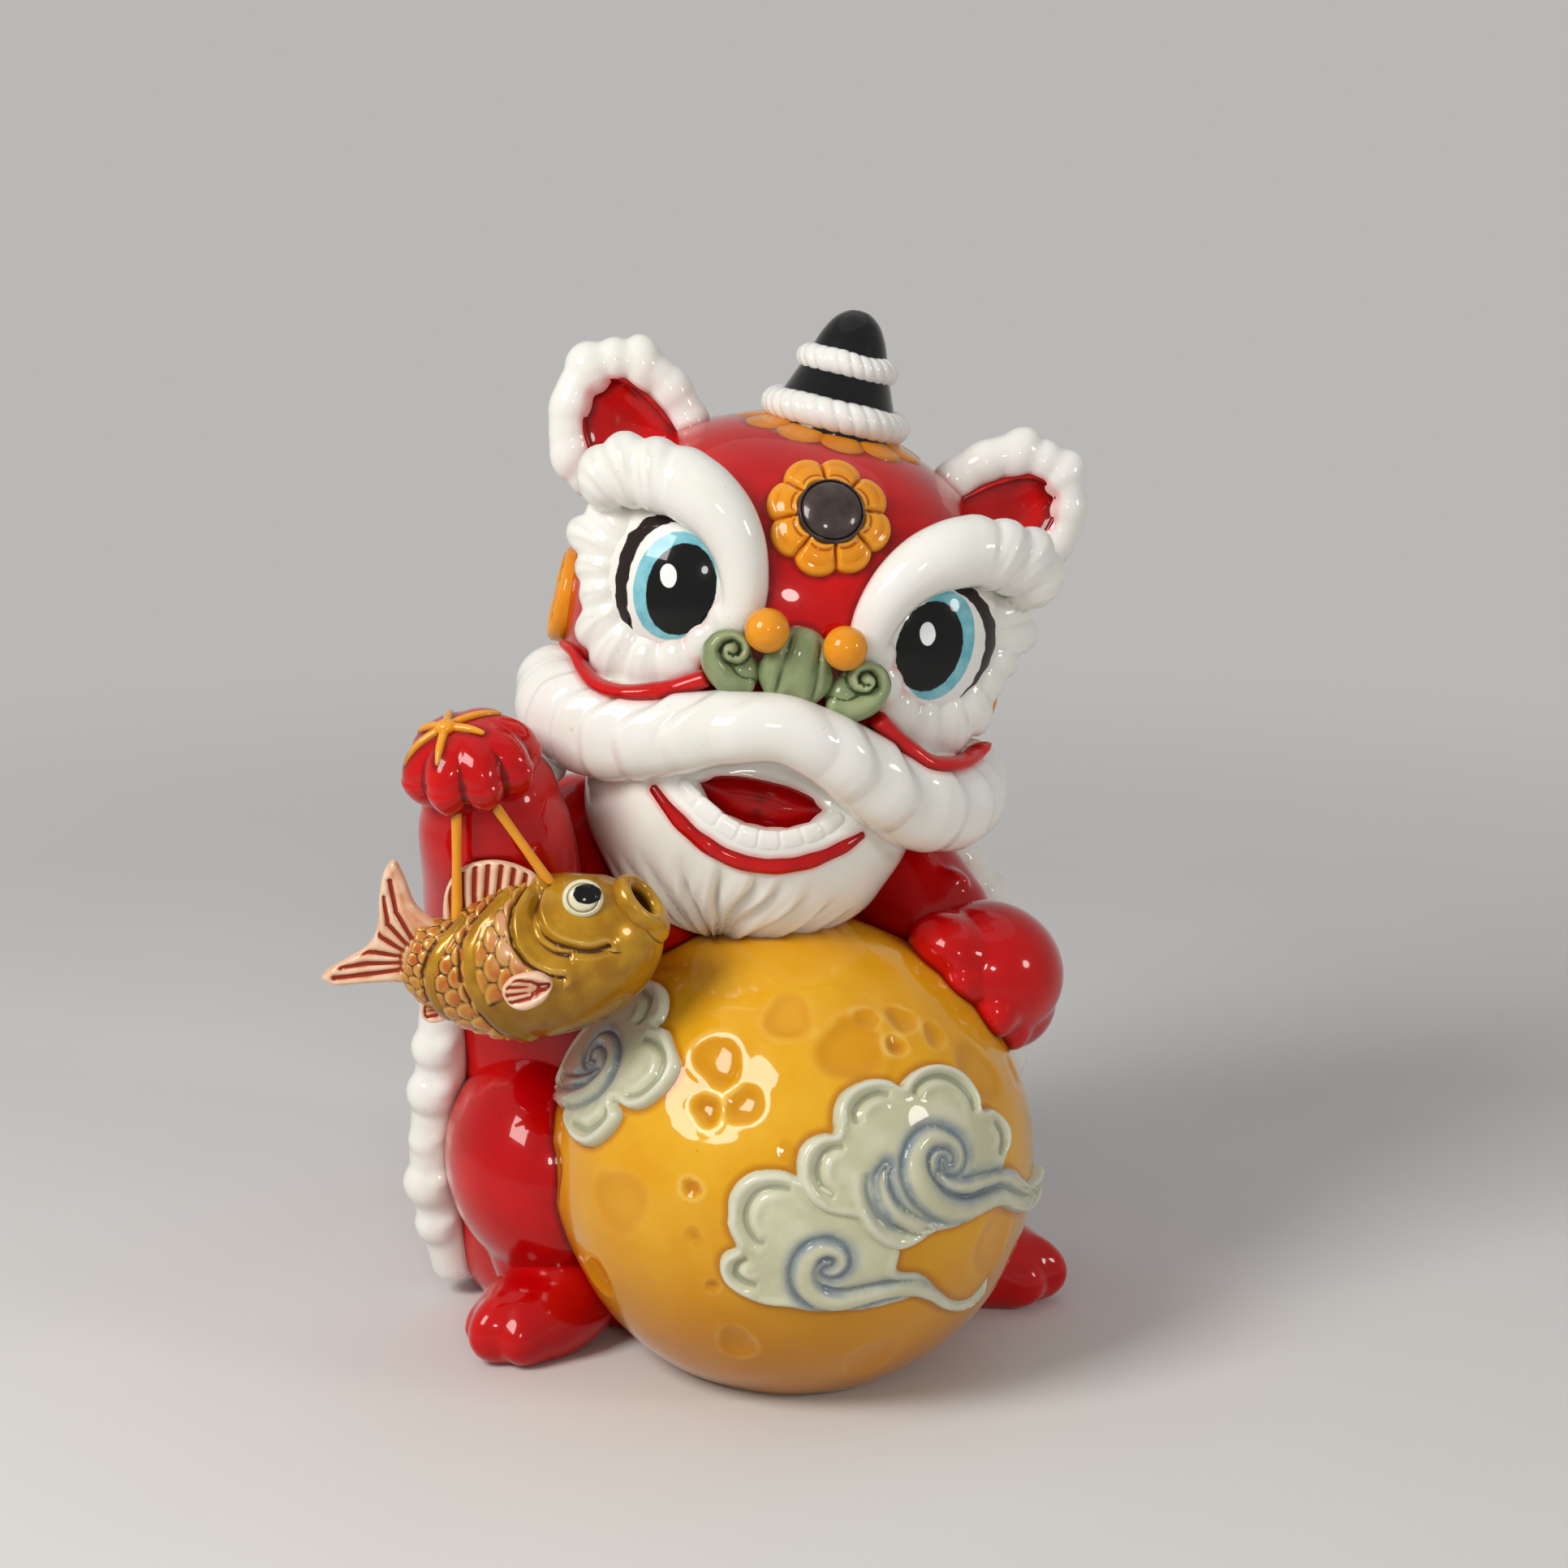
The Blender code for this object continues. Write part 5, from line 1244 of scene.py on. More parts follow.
def make_cheeks():
    for side_name, side in SIDES.items():
        rows = [(x, y + 2.3, z, half, 2.8) for x, y, z, half in CHEEK_BANDS[side_name]]
        band = roll(side_name + "_cheek_band", rows, 140, 32, (0.25 * side, -1, 0), blunt=0.6)
        place_in_head(band)
        keep(band, "red_glaze", side_name + "_cheek_piping")


# Nose


def make_nose():
    def folds(d):
        """A cloth-like saddle: narrow at its top, wide below, with soft upright folds."""
        square = np.sign(d) * np.abs(d) ** 0.78
        wide = 8.2 - 1.7 * ease(square[:, 2], -0.5, 0.95)
        share = square[:, 0]
        crease = np.exp(-(((share + 0.42) / 0.13) ** 2)) + np.exp(-(((share - 0.5) / 0.12) ** 2))
        depth = 5.6 - 0.95 * crease * ease(-square[:, 1], 0, 0.4) - 1.0 * np.abs(share) ** 3
        hem = 0.5 * np.cos(share * 6.6) * ease(-square[:, 2], 0.2,
                                               0.8) - 1.0 * share**2 * (square[:, 2] > 0)
        return np.stack([wide * share, -48.4 + depth * square[:, 1], -5.4 + 8.0 * square[:, 2] + hem], -1)

    bridge = globe("nose_saddle", 6, folds)
    smooth(bridge, 6)
    place_in_head(bridge)
    keep(bridge, "jade_glaze", "nose_bridge")
    for side_name, side in SIDES.items():
        make_nose_curl(side_name, side)
        spot = in_head(np.array([side * 8.2, -53.6, 0.6]))
        bead = globe(side_name + "_bead", 5, lambda d: spot + d * (4.6 + 0.05 * waves(d * 4.6, 4))[:, None])
        keep(bead, "amber_glaze", side_name + "_nose_bead")


def make_nose_curl(side_name, side):
    """A snail-like scroll: a fat roll that winds from beside the saddle round below and over into its eye."""
    stations = ((9.8, -48.4, -11.5, 2.7, 3.5), (13.3, -48.9, -11.3, 3.0, 4.0),
                (16.5, -49.3, -9.0, 2.7, 4.0),
                (17.9, -49.6, -5.9, 2.0, 3.6), (16.8, -49.9, -3.3, 1.6, 3.3),
                (14.4, -50.2, -2.2, 1.35, 3.1),
                (12.1, -50.5, -3.1, 1.2, 3.0), (11.4, -50.9, -5.0, 1.15, 2.9),
                (12.5, -51.2, -6.6, 1.1, 2.9),
                (14.4, -51.6, -6.4, 1.1, 2.8), (14.8, -52.0, -5.1, 1.15, 2.7),
                (13.9, -52.3, -4.6, 1.2, 2.5))
    coil = roll("coil", [(side * x, *rest) for x, *rest in stations], 260, 28, (0, -1, 0.1))
    body = lump((side * 13.7, -47.0, -7.6), (5.2, 4.2, 5.4))
    under = lump((side * 11.2, -47.6, -9.3), (4.4, 4.3, 4.2))
    made = melt(side_name + "_nose_scroll", [coil, body, under], 0.2, 6)
    place_in_head(made)
    keep(made, "jade_glaze", side_name + "_nose_curl")


# Forehead flower and mirror


def dish(name, rows, columns, place, profile, radius_of):
    """A closed disc: profile(share, angle) is its height and radius_of(angle) its edge, in a frame."""
    angle = np.arange(columns) * math.tau / columns
    share = np.concatenate([np.linspace(0.02, 1, rows), [1.0, 0.96, 0.5, 0.02]])
    reach = radius_of(angle)[None, :] * share[:, None]
    height = profile(share[:, None], angle[None, :]) + 0 * reach
    height[rows:] = np.array([-1.2, -2.6, -2.6, -2.6])[:, None]
    local = np.stack([reach * np.cos(angle), reach * np.sin(angle), height], -1)
    return loft(name, turned_by(place, local))


def front_of_head(x, z):
    """The head's front at this width and height."""
    rest = 1 - (abs(x) / HEAD_SIZE[0]) ** HEAD_SQUARENESS - (abs(z) / HEAD_SIZE[2]) ** HEAD_SQUARENESS
    return np.array([x, -HEAD_SIZE[1] * rest ** (1 / HEAD_SQUARENESS), z])


def make_flower():
    place = HEAD_PLACE @ Matrix.LocRotScale(Vector(front_of_head(0, 25)), Euler((math.radians(64), 0, 0)),
                                            None)

    def petal(angle):
        return np.abs(np.cos(4 * angle + 0.35)) ** 0.55

    def edge(angle):
        return 13.2 * (0.84 + 0.16 * petal(angle)) * (1 + 0.02 * np.sin(3 * angle + 1))

    def profile(share, angle):
        rim = np.sqrt(np.clip(1 - ((share - 0.56) / 0.44) ** 2, 0, 1)) * (share > 0.56) + (share <= 0.56)
        notch = np.clip(1 - np.abs(np.cos(4 * angle + 0.35)) * 2.5, 0, 1) ** 1.3 * ease(share, 0.56, 0.72)
        lip = 0.5 * np.exp(-(((share - 0.58) / 0.035) ** 2))
        dent = 0.35 * np.exp(-(((share - 0.86) / 0.07) ** 2)) * petal(angle)
        return 3.0 * rim - 1.25 * notch * rim + lip - dent - 0.1

    flower = dish("forehead_blossom", 60, 384, place, profile, edge)
    keep(flower, "amber_glaze", "forehead_flower")

    def mirror_profile(share, angle):
        dome = 4.1 + 1.8 * np.clip(1 - (share / 0.84) ** 2, 0, 1) ** 0.75
        bevel = 4.25 - 1.9 * np.clip((share - 0.9) / 0.1, 0, 1) ** 1.6
        groove = 0.45 * np.exp(-(((share - 0.86) / 0.022) ** 2))
        return np.where(share < 0.86, dome, bevel) - groove

    mirror = dish("forehead_mirror_boss", 70, 120, place, mirror_profile, lambda angle: 7.4 + 0 * angle)
    keep(mirror, "bronze_glaze", "forehead_mirror", rounds=2)
    for side_name, side in SIDES.items():
        side_place = HEAD_PLACE @ facing((side * 46.3, 0, -6), (side, 0, 0))

        def rosette(share, angle):
            rim = np.exp(-(((share - 0.9) / 0.09) ** 2))
            petals = np.abs(np.cos(5 * angle)) ** 0.7 * ease(share, 0.35,
                                                             0.5) * (1 - ease(share, 0.72, 0.82))
            boss = np.sqrt(np.clip(1 - (share / 0.33) ** 2, 0, 1))
            return 1.0 + 1.5 * rim + 1.0 * petals + 1.9 * boss

        disc = dish(side_name + "_cheek_rosette", 50, 200, side_place, rosette,
                    lambda angle: 10.4 + 0 * angle)
        keep(disc, "amber_glaze", side_name + "_cheek_disc")


# Horn

HORN_SPOT = np.array([0.5, -6.0, 40.5])


def turned_ring(name, radius, height, half, ribs, depth, wander, count=300, sides=40):
    """A ribbed band round the horn."""
    angle = np.arange(count) * math.tau / count
    theta = np.arange(sides) * math.tau / sides
    uneven = np.sin(3 * angle + wander) * 0.25 + np.sin(5 * angle + 2 * wander) * 0.2
    phase = ribs * angle / math.tau + 0.25 * np.sin(2 * angle + wander)
    twist = phase[:, None] + 0.45 * np.sin(theta)[None, :]
    groove = (1 - np.abs(np.sin(math.pi * twist))) ** 1.5 * depth * (0.8 + 0.2 * np.sin(7 * angle))[:, None]
    grow = 1 + 0.07 * uneven
    outer = np.clip(0.3 + np.cos(theta), 0, 1)
    thick = half[0] * grow[:, None] - groove * outer
    tall = half[1] * grow[:, None] - 0.5 * groove
    reach = radius + thick * np.cos(theta)
    level = height + 0.35 * uneven[:, None] + tall * np.sin(theta)
    grid = np.stack([reach * np.cos(angle)[:, None], reach * np.sin(angle)[:, None], level], -1) + HORN_SPOT
    return solid(name, in_head(grid).reshape(-1, 3), tube_faces(count, sides, True))


def make_horn():
    profile = through([(14.2, -1), (13.6, 3), (12.4, 7), (11.0, 10.5), (9.6, 14.0), (8.2, 18.0),
                       (6.9, 21.5), (4.9, 24.8),
                       (2.4, 26.7), (0.3, 27.2)], 90)[0]
    angle = np.arange(96) * math.tau / 96
    grid = np.stack([profile[:, :1] * np.cos(angle), profile[:, :1] * np.sin(angle),
                     np.repeat(profile[:, 1:], 96, 1)], -1) + HORN_SPOT
    keep(loft("horn_cone", in_head(grid)), "black_glaze", "horn")
    keep(turned_ring("horn_fur_lower", 12.6, 4.4, (3.7, 3.5), 30, 0.6, 0.4), "white_glaze",
         "horn_lower_band")
    keep(turned_ring("horn_fur_upper", 8.3, 15.4, (2.9, 2.9), 23, 0.5, 2.1), "white_glaze",
         "horn_upper_band")
    make_collar()


def make_collar():
    """Thin pointed petals that lie on the crown round the horn's foot."""
    columns, rows = 420, 26
    angle = np.arange(columns) * math.tau / columns
    tips = 18.3 + 2.1 * np.abs(np.sin(5.5 * angle + 0.4)) ** 0.8 + 0.7 * np.sin(2 * angle + 1)
    share = np.concatenate([np.linspace(0.3, 1, rows), [0.97, 0.3]])
    reach = tips[None, :] * share[:, None]
    flat = np.stack([HORN_SPOT[0] + reach * np.cos(angle), HORN_SPOT[1] + reach * np.sin(angle)], -1)
    spread = (np.abs(flat[..., :2]) / HEAD_SIZE[:2]) ** HEAD_SQUARENESS
    across = spread[..., 0] + spread[..., 1]
    dome = HEAD_SIZE[2] * np.clip(1 - across, 0, 1) ** (1 / HEAD_SQUARENESS)
    rise = 0.85 * np.sqrt(np.clip(1 - ((share - 0.3) / 0.7) ** 4, 0, 1))[:, None]
    vein = 0.4 * (1 - np.abs(np.sin(5.5 * angle + 0.4))) ** 3
    height = dome + np.where(np.arange(rows + 2)[:, None] < rows,
                             rise - vein * ease(share, 0.5, 0.9)[:, None], -2.0)
    keep(loft("horn_collar", in_head(np.concatenate([flat, height[..., None]], -1))), "amber_glaze",
         "horn_petal_collar")


# Fur of each ear as lobes of clay: (x, z, half sizes across and along, lean in degrees, half depth)
EAR_LOBES = {
    "right": ((29.6, 36, 5.0, 6.2, 40, 4.8), (34.6, 41.6, 5.0, 6.4, 40, 5.2),
              (41.8, 45.4, 4.9, 7.0, 22, 5.5),
              (47.8, 45.0, 4.6, 5.4, 10, 5.2), (52.4, 42.2, 5.6, 6.2, 30, 5.4),
              (54.6, 34.0, 4.9, 7.0, -6, 5.2),
              (52.4, 24.4, 4.9, 6.8, 10, 5.0), (47.5, 20.2, 5.0, 5.0, 0, 4.6)),
    "left": ((30.0, 37, 5.0, 6.0, 50, 4.8), (35.4, 42.2, 5.0, 6.8, 52, 5.2),
             (41.8, 45.6, 5.0, 6.6, 22, 5.5),
             (47.6, 45.2, 4.6, 5.2, 5, 5.1), (52.2, 43.4, 5.0, 6.2, 30, 5.4),
             (54.9, 36.4, 4.9, 6.0, 0, 5.2),
             (54.0, 29.2, 4.9, 5.8, 8, 5.1), (50.0, 22.4, 5.2, 6.2, 25, 4.9)),
}
EAR_DISH = ((30.9, 31.8), (34.4, 35.8), (39.4, 39.3), (45.5, 41.7), (50.4, 40.4), (52.4, 36.8),
            (51.8, 31.6), (48.6, 25.6),
            (42.5, 23.5), (35.0, 26.0))


def make_ears():
    outline = through(EAR_DISH, 160, closed=True)[0]
    centre = outline.mean(0)
    for side_name, side in SIDES.items():
        parts = [lump((side * 43.0, 2.4, 33), (13.6, 3.4, 14.0), (0, 0, 0), 5)]
        for x, z, wide, tall, lean, deep in EAR_LOBES[side_name]:
            parts.append(lump((side * x, -0.4, z), (wide, deep, tall), (0, side * lean, 0), 5))
        rim = [(side * x, -0.3, z, 4.6, deep - 0.35) for x, z, *_, deep in EAR_LOBES[side_name]]
        parts.append(roll("rim", rim, 80, 40, (0, -1, 0)))
        made = melt(side_name + "_ear_fur", parts, 0.36, 34)
        place_in_head(made)
        keep(made, "white_glaze", side_name + "_ear")
        rings = []
        for scale, y in ((0.3, 1.5), (1.05, 1.5), (1.1, -1.0), (1.09, -3.2), (1.05, -4.1), (1.0, -4.3),
                         (0.955, -4.25),
                         (0.92, -3.75), (0.86, -3.45), (0.7, -2.7), (0.45, -2.0), (0.2, -1.8)):
            flat = centre + (outline - centre) * scale
            rings.append(np.column_stack([side * flat[:, 0], np.full(len(flat), y), flat[:, 1]]))
        lining = loft(side_name + "_ear_dish", in_head(np.array(rings)))
        use(lining, "SUBSURF", levels=1, render_levels=1)
        keep(lining, "red_glaze", side_name + "_ear_lining")


# Body


def make_torso():
    profile = through([(51.5, 0.0), (54, 1.5), (58.2, 10), (60, 30), (58.2, 56), (51.6, 84), (39.6, 107),
                       (25.8, 120),
                       (12, 124), (0.6, 125)], 110)[0]
    around = 160
    angle = np.arange(around) * math.tau / around
    radius, level = profile[:, :1], profile[:, 1:]
    back = np.clip(np.sin(angle), 0, 1)
    folds = 1.6 * np.abs(np.sin(4.5 * (angle - math.pi / 2)
                                + 0.5)) * back * ease(level, 2, 20) * (1 - ease(level, 70, 112))
    # The cloth reaches out to the fringe at each side
    lean = np.minimum(np.abs(np.degrees(angle) - 198), np.abs((np.degrees(angle) + 198) % 360 - 180))
    web = 10.5 * np.exp(-((lean / 24) ** 2)) * np.exp(-(((level - 80) / 20) ** 2))
    reach = radius - folds + web
    grid = np.stack([BODY_X + reach * np.cos(angle), 22 + reach * 44 / 60 * np.sin(angle),
                     np.repeat(level, around, 1)], -1)
    keep(loft("cape_body", grid), "red_glaze", "torso")


# Fringes down the cape's sides, as (x, y, z, radius)
FRINGES = {
    "right": ((-52, -4, 126, 5.2), (-60, 4, 109, 6.2), (-65, 8, 89, 6.6), (-67, 12, 60, 6.8),
              (-68, 17, 32, 6.8),
              (-63, 22, 8.0, 6.4)),
    "left": ((37, -2, 116, 5.6), (46.5, 0, 102, 6.8), (55, 3, 89, 6.9), (62.5, 8, 74, 6.6),
             (65.5, 12, 56, 6.6),
             (65, 17, 32, 6.6), (59, 22, 7.5, 6.2)),
}


SPINE = ((0, -28, 1.03, 0.8), (0, -10, 0.84, 1.0), (0, 0, 0.63, 1.0), (0, 2, 0.45, 0.9))
TAIL = ((0, -4, 0.22, 0.9), (4, 8, 0.27, 1.0), (8, 14, 0.37, 0.95), (6, 12, 0.48, 0.8), (0, 8, 0.56, 0.5))


def tufts(count, depth, stations, lean=0.3):
    """Relief of evenly spread locks along a roll."""
    def relief(place, theta):
        share = place / (stations - 1)
        phase = count * share + lean * np.sin(theta)
        lock = np.abs(np.sin(math.pi * phase)) ** 0.6
        return depth * (1 - lock) + 0.1 * np.cos(math.tau * 3 * phase)
    return relief


def make_cape_trim():
    for side_name, side in SIDES.items():
        stations = FRINGES[side_name]
        core = [(x, y, z, 0.86 * radius) for x, y, z, radius in stations]
        parts = [roll("core", core, 90, 32, (0, -1, 0.2))]
        path = through(stations, 400)[0]
        length = np.concatenate([[0], np.cumsum(np.linalg.norm(np.diff(path[:, :3], axis=0), axis=1))])
        steps = np.array((3, 12, 22.5, 33, 45, 56, 68, 79, 91, 102, 113, 123, 133))
        for k, at in enumerate(steps[steps < length[-1] - 2]):
            x, y, z, radius = (np.interp(at, length, path[:, c]) for c in range(4))
            size = radius * (0.86 + 0.12 * math.sin(2.3 * k + side))
            parts.append(lump((x + side * 1.5, y - 0.8, z - 0.5), (size, size * 0.98, size * 0.92),
                              (0, side * -28, 0), 5))
            parts.append(lump((x + side * 0.5, y - 2.6, z + 1.5), (size * 0.7, size * 0.8, size * 0.6),
                              (0, side * 30, 0), 4))
        fringe = melt(side_name + "_fringe", parts, 0.5, 26)
        flatten_foot(fringe)
        keep(fringe, "white_glaze", side_name + "_cape_fringe")
    tuft = roll("shoulder_tuft", [(BODY_X - 42, -4, 128, 4.3), (BODY_X - 45.5, -13, 130.3, 4.6),
                                  (BODY_X - 47.4, -18, 129, 3.2)],
                60, 40, (0, 0, 1), tufts(2.2, 0.9, 3))
    keep(tuft, "white_glaze", "right_shoulder_fur")
    for name, stations, radius, count, node in (("spine_locks", SPINE, 6.2, 7, "spine_fur"),
                                                ("tail_curl", TAIL, 7.6, 6, "tail")):
        rows = [(BODY_X + x, TORSO_BACK + y, TORSO_HEIGHT * level, radius * share) for x, y, level,
                share in stations]
        keep(roll(name, rows, 200, 48, (0, 1, 0.4), tufts(count, 1.9, len(rows), 0.5)), "white_glaze", node)


def flatten_foot(thing):
    points = points_of(thing)
    points[:, 2] = np.maximum(points[:, 2], 0.0)
    place_points(thing, points)


def make_legs():
    for side_name, side in SIDES.items():
        ankle = [(BODY_X + side * x, y, z, r) for x, y, z,
                 r in ((45, -3, 26, 14), (43, -6, 14, 12.4), (42, -8, 7, 11.5))]
        parts = [lump((BODY_X + side * 45, -1, 38), (20, 26, 25), (12, side * 6, 0), 5),
                 roll("ankle", ankle, 30, 32, (0, -1, 0))]
        leg = melt(side_name + "_thigh", parts, 0.9, 14)
        flatten_foot(leg)
        keep(leg, "red_glaze", side_name + "_leg")
    make_foot("right", -1, (-39, -8), 64)
    make_foot("left", 1, (38, -8), 58)


def make_foot(side_name, side, heel, splay):
    """A soft boot-like paw with three low toes along its outer edge."""
    turn = math.radians(splay)
    ahead = np.array([side * math.sin(turn), -math.cos(turn), 0])
    across = np.array([ahead[1], -ahead[0], 0])
    heel = np.array([*heel, 0.0])
    heading = math.degrees(math.atan2(ahead[1], ahead[0]))
    middle = heel + ahead * 13.0 + (0, 0, 8.5)
    parts = [lump(middle, (18.5, 12.8, 11.2), (0, 7, heading), 5),
             lump(middle + (0, 0, 4.5) - ahead * 5, (13.5, 11.4, 11), (0, 8, heading), 5)]
    for step in (-1, 0, 1):
        spot = heel + ahead * (22.3 - 2.4 * abs(step)) + across * step * 5.0 + (0, 0, 7.8 - 1.0 * abs(step))
        parts.append(lump(spot, (12.2 - 1.5 * abs(step), 6.3 - 0.6 * abs(step), 8.6 - 1.2 * abs(step)),
                          (0, 9, heading - 9 * step), 5))
    foot = melt(side_name + "_toes", parts, 0.55, 44)
    flatten_foot(foot)
    keep(foot, "red_glaze", side_name + "_foot")


def make_arms():
    upper = [(BODY_X - 32, 8, 106, 17), (BODY_X - 50, -7, 96, 17)]
    fore = [(BODY_X - 53, -11, 92, 18), (BODY_X - 56, -19, 109, 17), (BODY_X - 59, -25, 121, 16.0),
            (*WRIST, 14.6)]
    parts = [roll("upper", upper, 20, 64, (0, -1, 0)), roll("fore", fore, 80, 64, (0, -1, 0)),
             lump((-27, -14, 97), (14, 11, 9), (0, 20, 0), 5)]
    keep(melt("right_sleeve_cloth", parts, 0.7, 26), "red_glaze", "right_sleeve")
    reach = [(28, 8, 110, 14.5), (32, -3, 100, 14), (38, -17, 90, 12.5)]
    folds = [lump((44, -12, 95), (3.0, 9, 3.0), (0, 30, 20)),
             lump((38, -20, 100), (3.0, 7, 3.0), (0, 20, 40))]
    keep(melt("left_sleeve_cloth", [roll("arm", reach, 60, 64, (0, -1, 0))] + folds, 0.6, 16), "red_glaze",
         "left_sleeve")


PAW_PLACE = Matrix.LocRotScale(Vector(PALM), Euler([math.radians(a) for a in (12, -14, 0)]), None)
PAW_HALF = np.array([13.9, 14.0, 9.6])


def make_paws():
    def raised(d):
        turn = np.degrees(np.arctan2(d[:, 0], -d[:, 1]))
        low = np.clip(1.0 - d[:, 2], 0, 1.7)
        crease = np.zeros(len(d))
        for at in (-120, -68, -24, 18, 62, 110, 165):
            gap = (turn - at + 180) % 360 - 180
            crease = np.maximum(crease, np.clip(1 - np.abs(gap) / 24, 0, 1) ** 1.7)
        reach = 1 - 0.16 * crease * np.minimum(low, 1) ** 0.8 + 0.04 * low * (1 - crease)
        half = np.where(d[:, 2:] > 0, PAW_HALF, PAW_HALF + (0.4, 0.4, 0))
        points = d * half * reach[:, None]
        return turned_by(PAW_PLACE, points)

    paw = globe("right_paw_raised", 6, raised)
    smooth(paw, 4)
    keep(paw, "red_glaze", "right_paw")
    parts = [lump((43.3, -36.2, 83.5), (16.3, 16.2, 14.8), (0, 25, 0), 5),
             lump((34.3, -38.8, 89.2), (10.5, 11.2, 8.0), (0, 30, 0), 5),
             lump((49.3, -33.5, 75.5), (9.5, 12.5, 11.0), (0, 20, 0), 5)]
    for (x, y, z), size in (((25.5, -43.0, 91.0), 4.8), ((33.0, -46.5, 84.8), 6.2),
                            ((40.0, -48.6, 77.0), 6.4), ((45.6, -45.0, 70.5), 5.5)):
        tip = np.array((x, y, z))
        inner = np.array((43.0, -37.0, 84.0))
        parts.append(lump((0, 0, 0), (size, size * 1.05, size * 1.5),
                          matrix=facing(tip + (inner - tip) * 0.34, tip - inner), level=5))
    keep(melt("left_paw_on_moon", parts, 0.5, 24), "red_glaze", "left_paw")


# Carp: its side view is drawn in millimetres about its middle, u towards the snout and v up

CARP_MIDDLE = WRIST + (4, -15, -28)
CARP_AHEAD = np.array([0.951, -0.309, 0.0])
CARP_SIDE = np.array([-0.309, -0.951, 0.0])
SEEN_UP = np.array([0.0748, 0.2301, 0.9703])
CARP_STATIONS = ((-20, -9, -27.5, 6.2), (-12, -11, -30.3, 10.9), (-2, -14, -30.8, 15.2),
                 (8, -17, -29, 16.4), (16.5, -20, -25.5, 15.2),
                 (22.5, -22.5, -22, 11.5), (26, -24.3, -19.6, 7.0))
SMILE = ((2.0, 12.2), (1.7, 9.0), (2.2, 6.4), (3.6, 3.8), (6.4, 1.8), (10, 0.6), (13.4, 0.2), (16.4, 1.0))
GILL = ((2.2, 15.5), (-0.6, 12.4), (-2.6, 9.0), (-3.1, 5.6), (-2.2, 1.4), (0.6, -2.4), (4.4, -4.4),
        (7.8, -4.8))
# The inner gill as places picked on a crop of the photo, with the crop's corner in the photo's pixels
# and how many times it was enlarged
GILL_CROP_CORNER = (390, 1040)
GILL_CROP_ENLARGED = 2.2222
INNER_GILL_PICKS = ((640, 105), (605, 150), (598, 200), (615, 250), (655, 285), (700, 300))
MID_RIDGE = ((-4.6, 11.0), (-6.8, 8.6), (-9.8, 5.0), (-11.6, 0.2), (-11.3, -5.6), (-9.0, -11),
             (-5.2, -15.4), (0.5, -19.5))
TAIL_RIDGE = ((-13.6, 6), (-15.4, 4.1), (-18.2, 0), (-19.8, -4.2), (-19.5, -8.6), (-18.0, -12.5),
              (-16.0, -15.5))


def inner_gill():
    """The inner gill's points in millimetres across and up the carp's side, to the nearest 0.1."""
    eye, right, up, back = photo_camera()
    middle = CARP_MIDDLE - MOON_CENTRE - eye
    pixel = PHOTO_FOCAL / -(middle @ back)
    across_middle = PHOTO_PIXELS / 2 + middle @ right * pixel
    down_middle = PHOTO_PIXELS / 2 - middle @ up * pixel
    points = []
    for across, down in INNER_GILL_PICKS:
        x = (GILL_CROP_CORNER[0] + across / GILL_CROP_ENLARGED - across_middle) / pixel
        z = (down_middle - GILL_CROP_CORNER[1] - down / GILL_CROP_ENLARGED) / pixel
        points.append((round(x, 1), round(z, 1)))
    return points


def carp_view(points):
    """Where points lie in the carp's side view; its far side mirrors the near one."""
    offset = points - CARP_MIDDLE
    depth = offset @ CARP_SIDE
    offset = offset + np.where(depth < 0, -2 * depth, 0)[..., None] * CARP_SIDE
    return offset @ CARP_AHEAD, offset @ SEEN_UP


def scale_relief(along, around, rows):
    """Overlapping scales: lift of the one on top, and how near its free edge is."""
    best = np.zeros_like(along)
    edge = np.zeros_like(along)
    covered = np.zeros_like(along, bool)
    column = np.floor(along)
    for shift in (2, 1, 0, -1):
        index = column + shift
        offset = np.where(index % 2 == 0, 0.0, 0.5)
        cell = np.floor(around * rows - offset)
        across = around * rows - offset - cell - 0.5
        ahead = along - index
        gap = np.hypot(across / 0.56, np.minimum(ahead + 0.35, 0) / 1.05)
        here = (gap < 1) & (ahead < 0.9) & ~covered
        lift = np.sqrt(np.clip(1 - gap**2, 0, 1)) ** 0.6 * 0.5 + 0.35 * np.clip(-ahead, -0.5, 1)
        best = np.where(here, lift, best)
        edge = np.where(here, gap, edge)
        covered |= here
    return best, edge


# The carp's open mouth: its middle and the way it faces
MOUTH_PLACE = facing(WRIST + (24.0, -25.6, -17.1), (0.58, -0.48, 0.66))


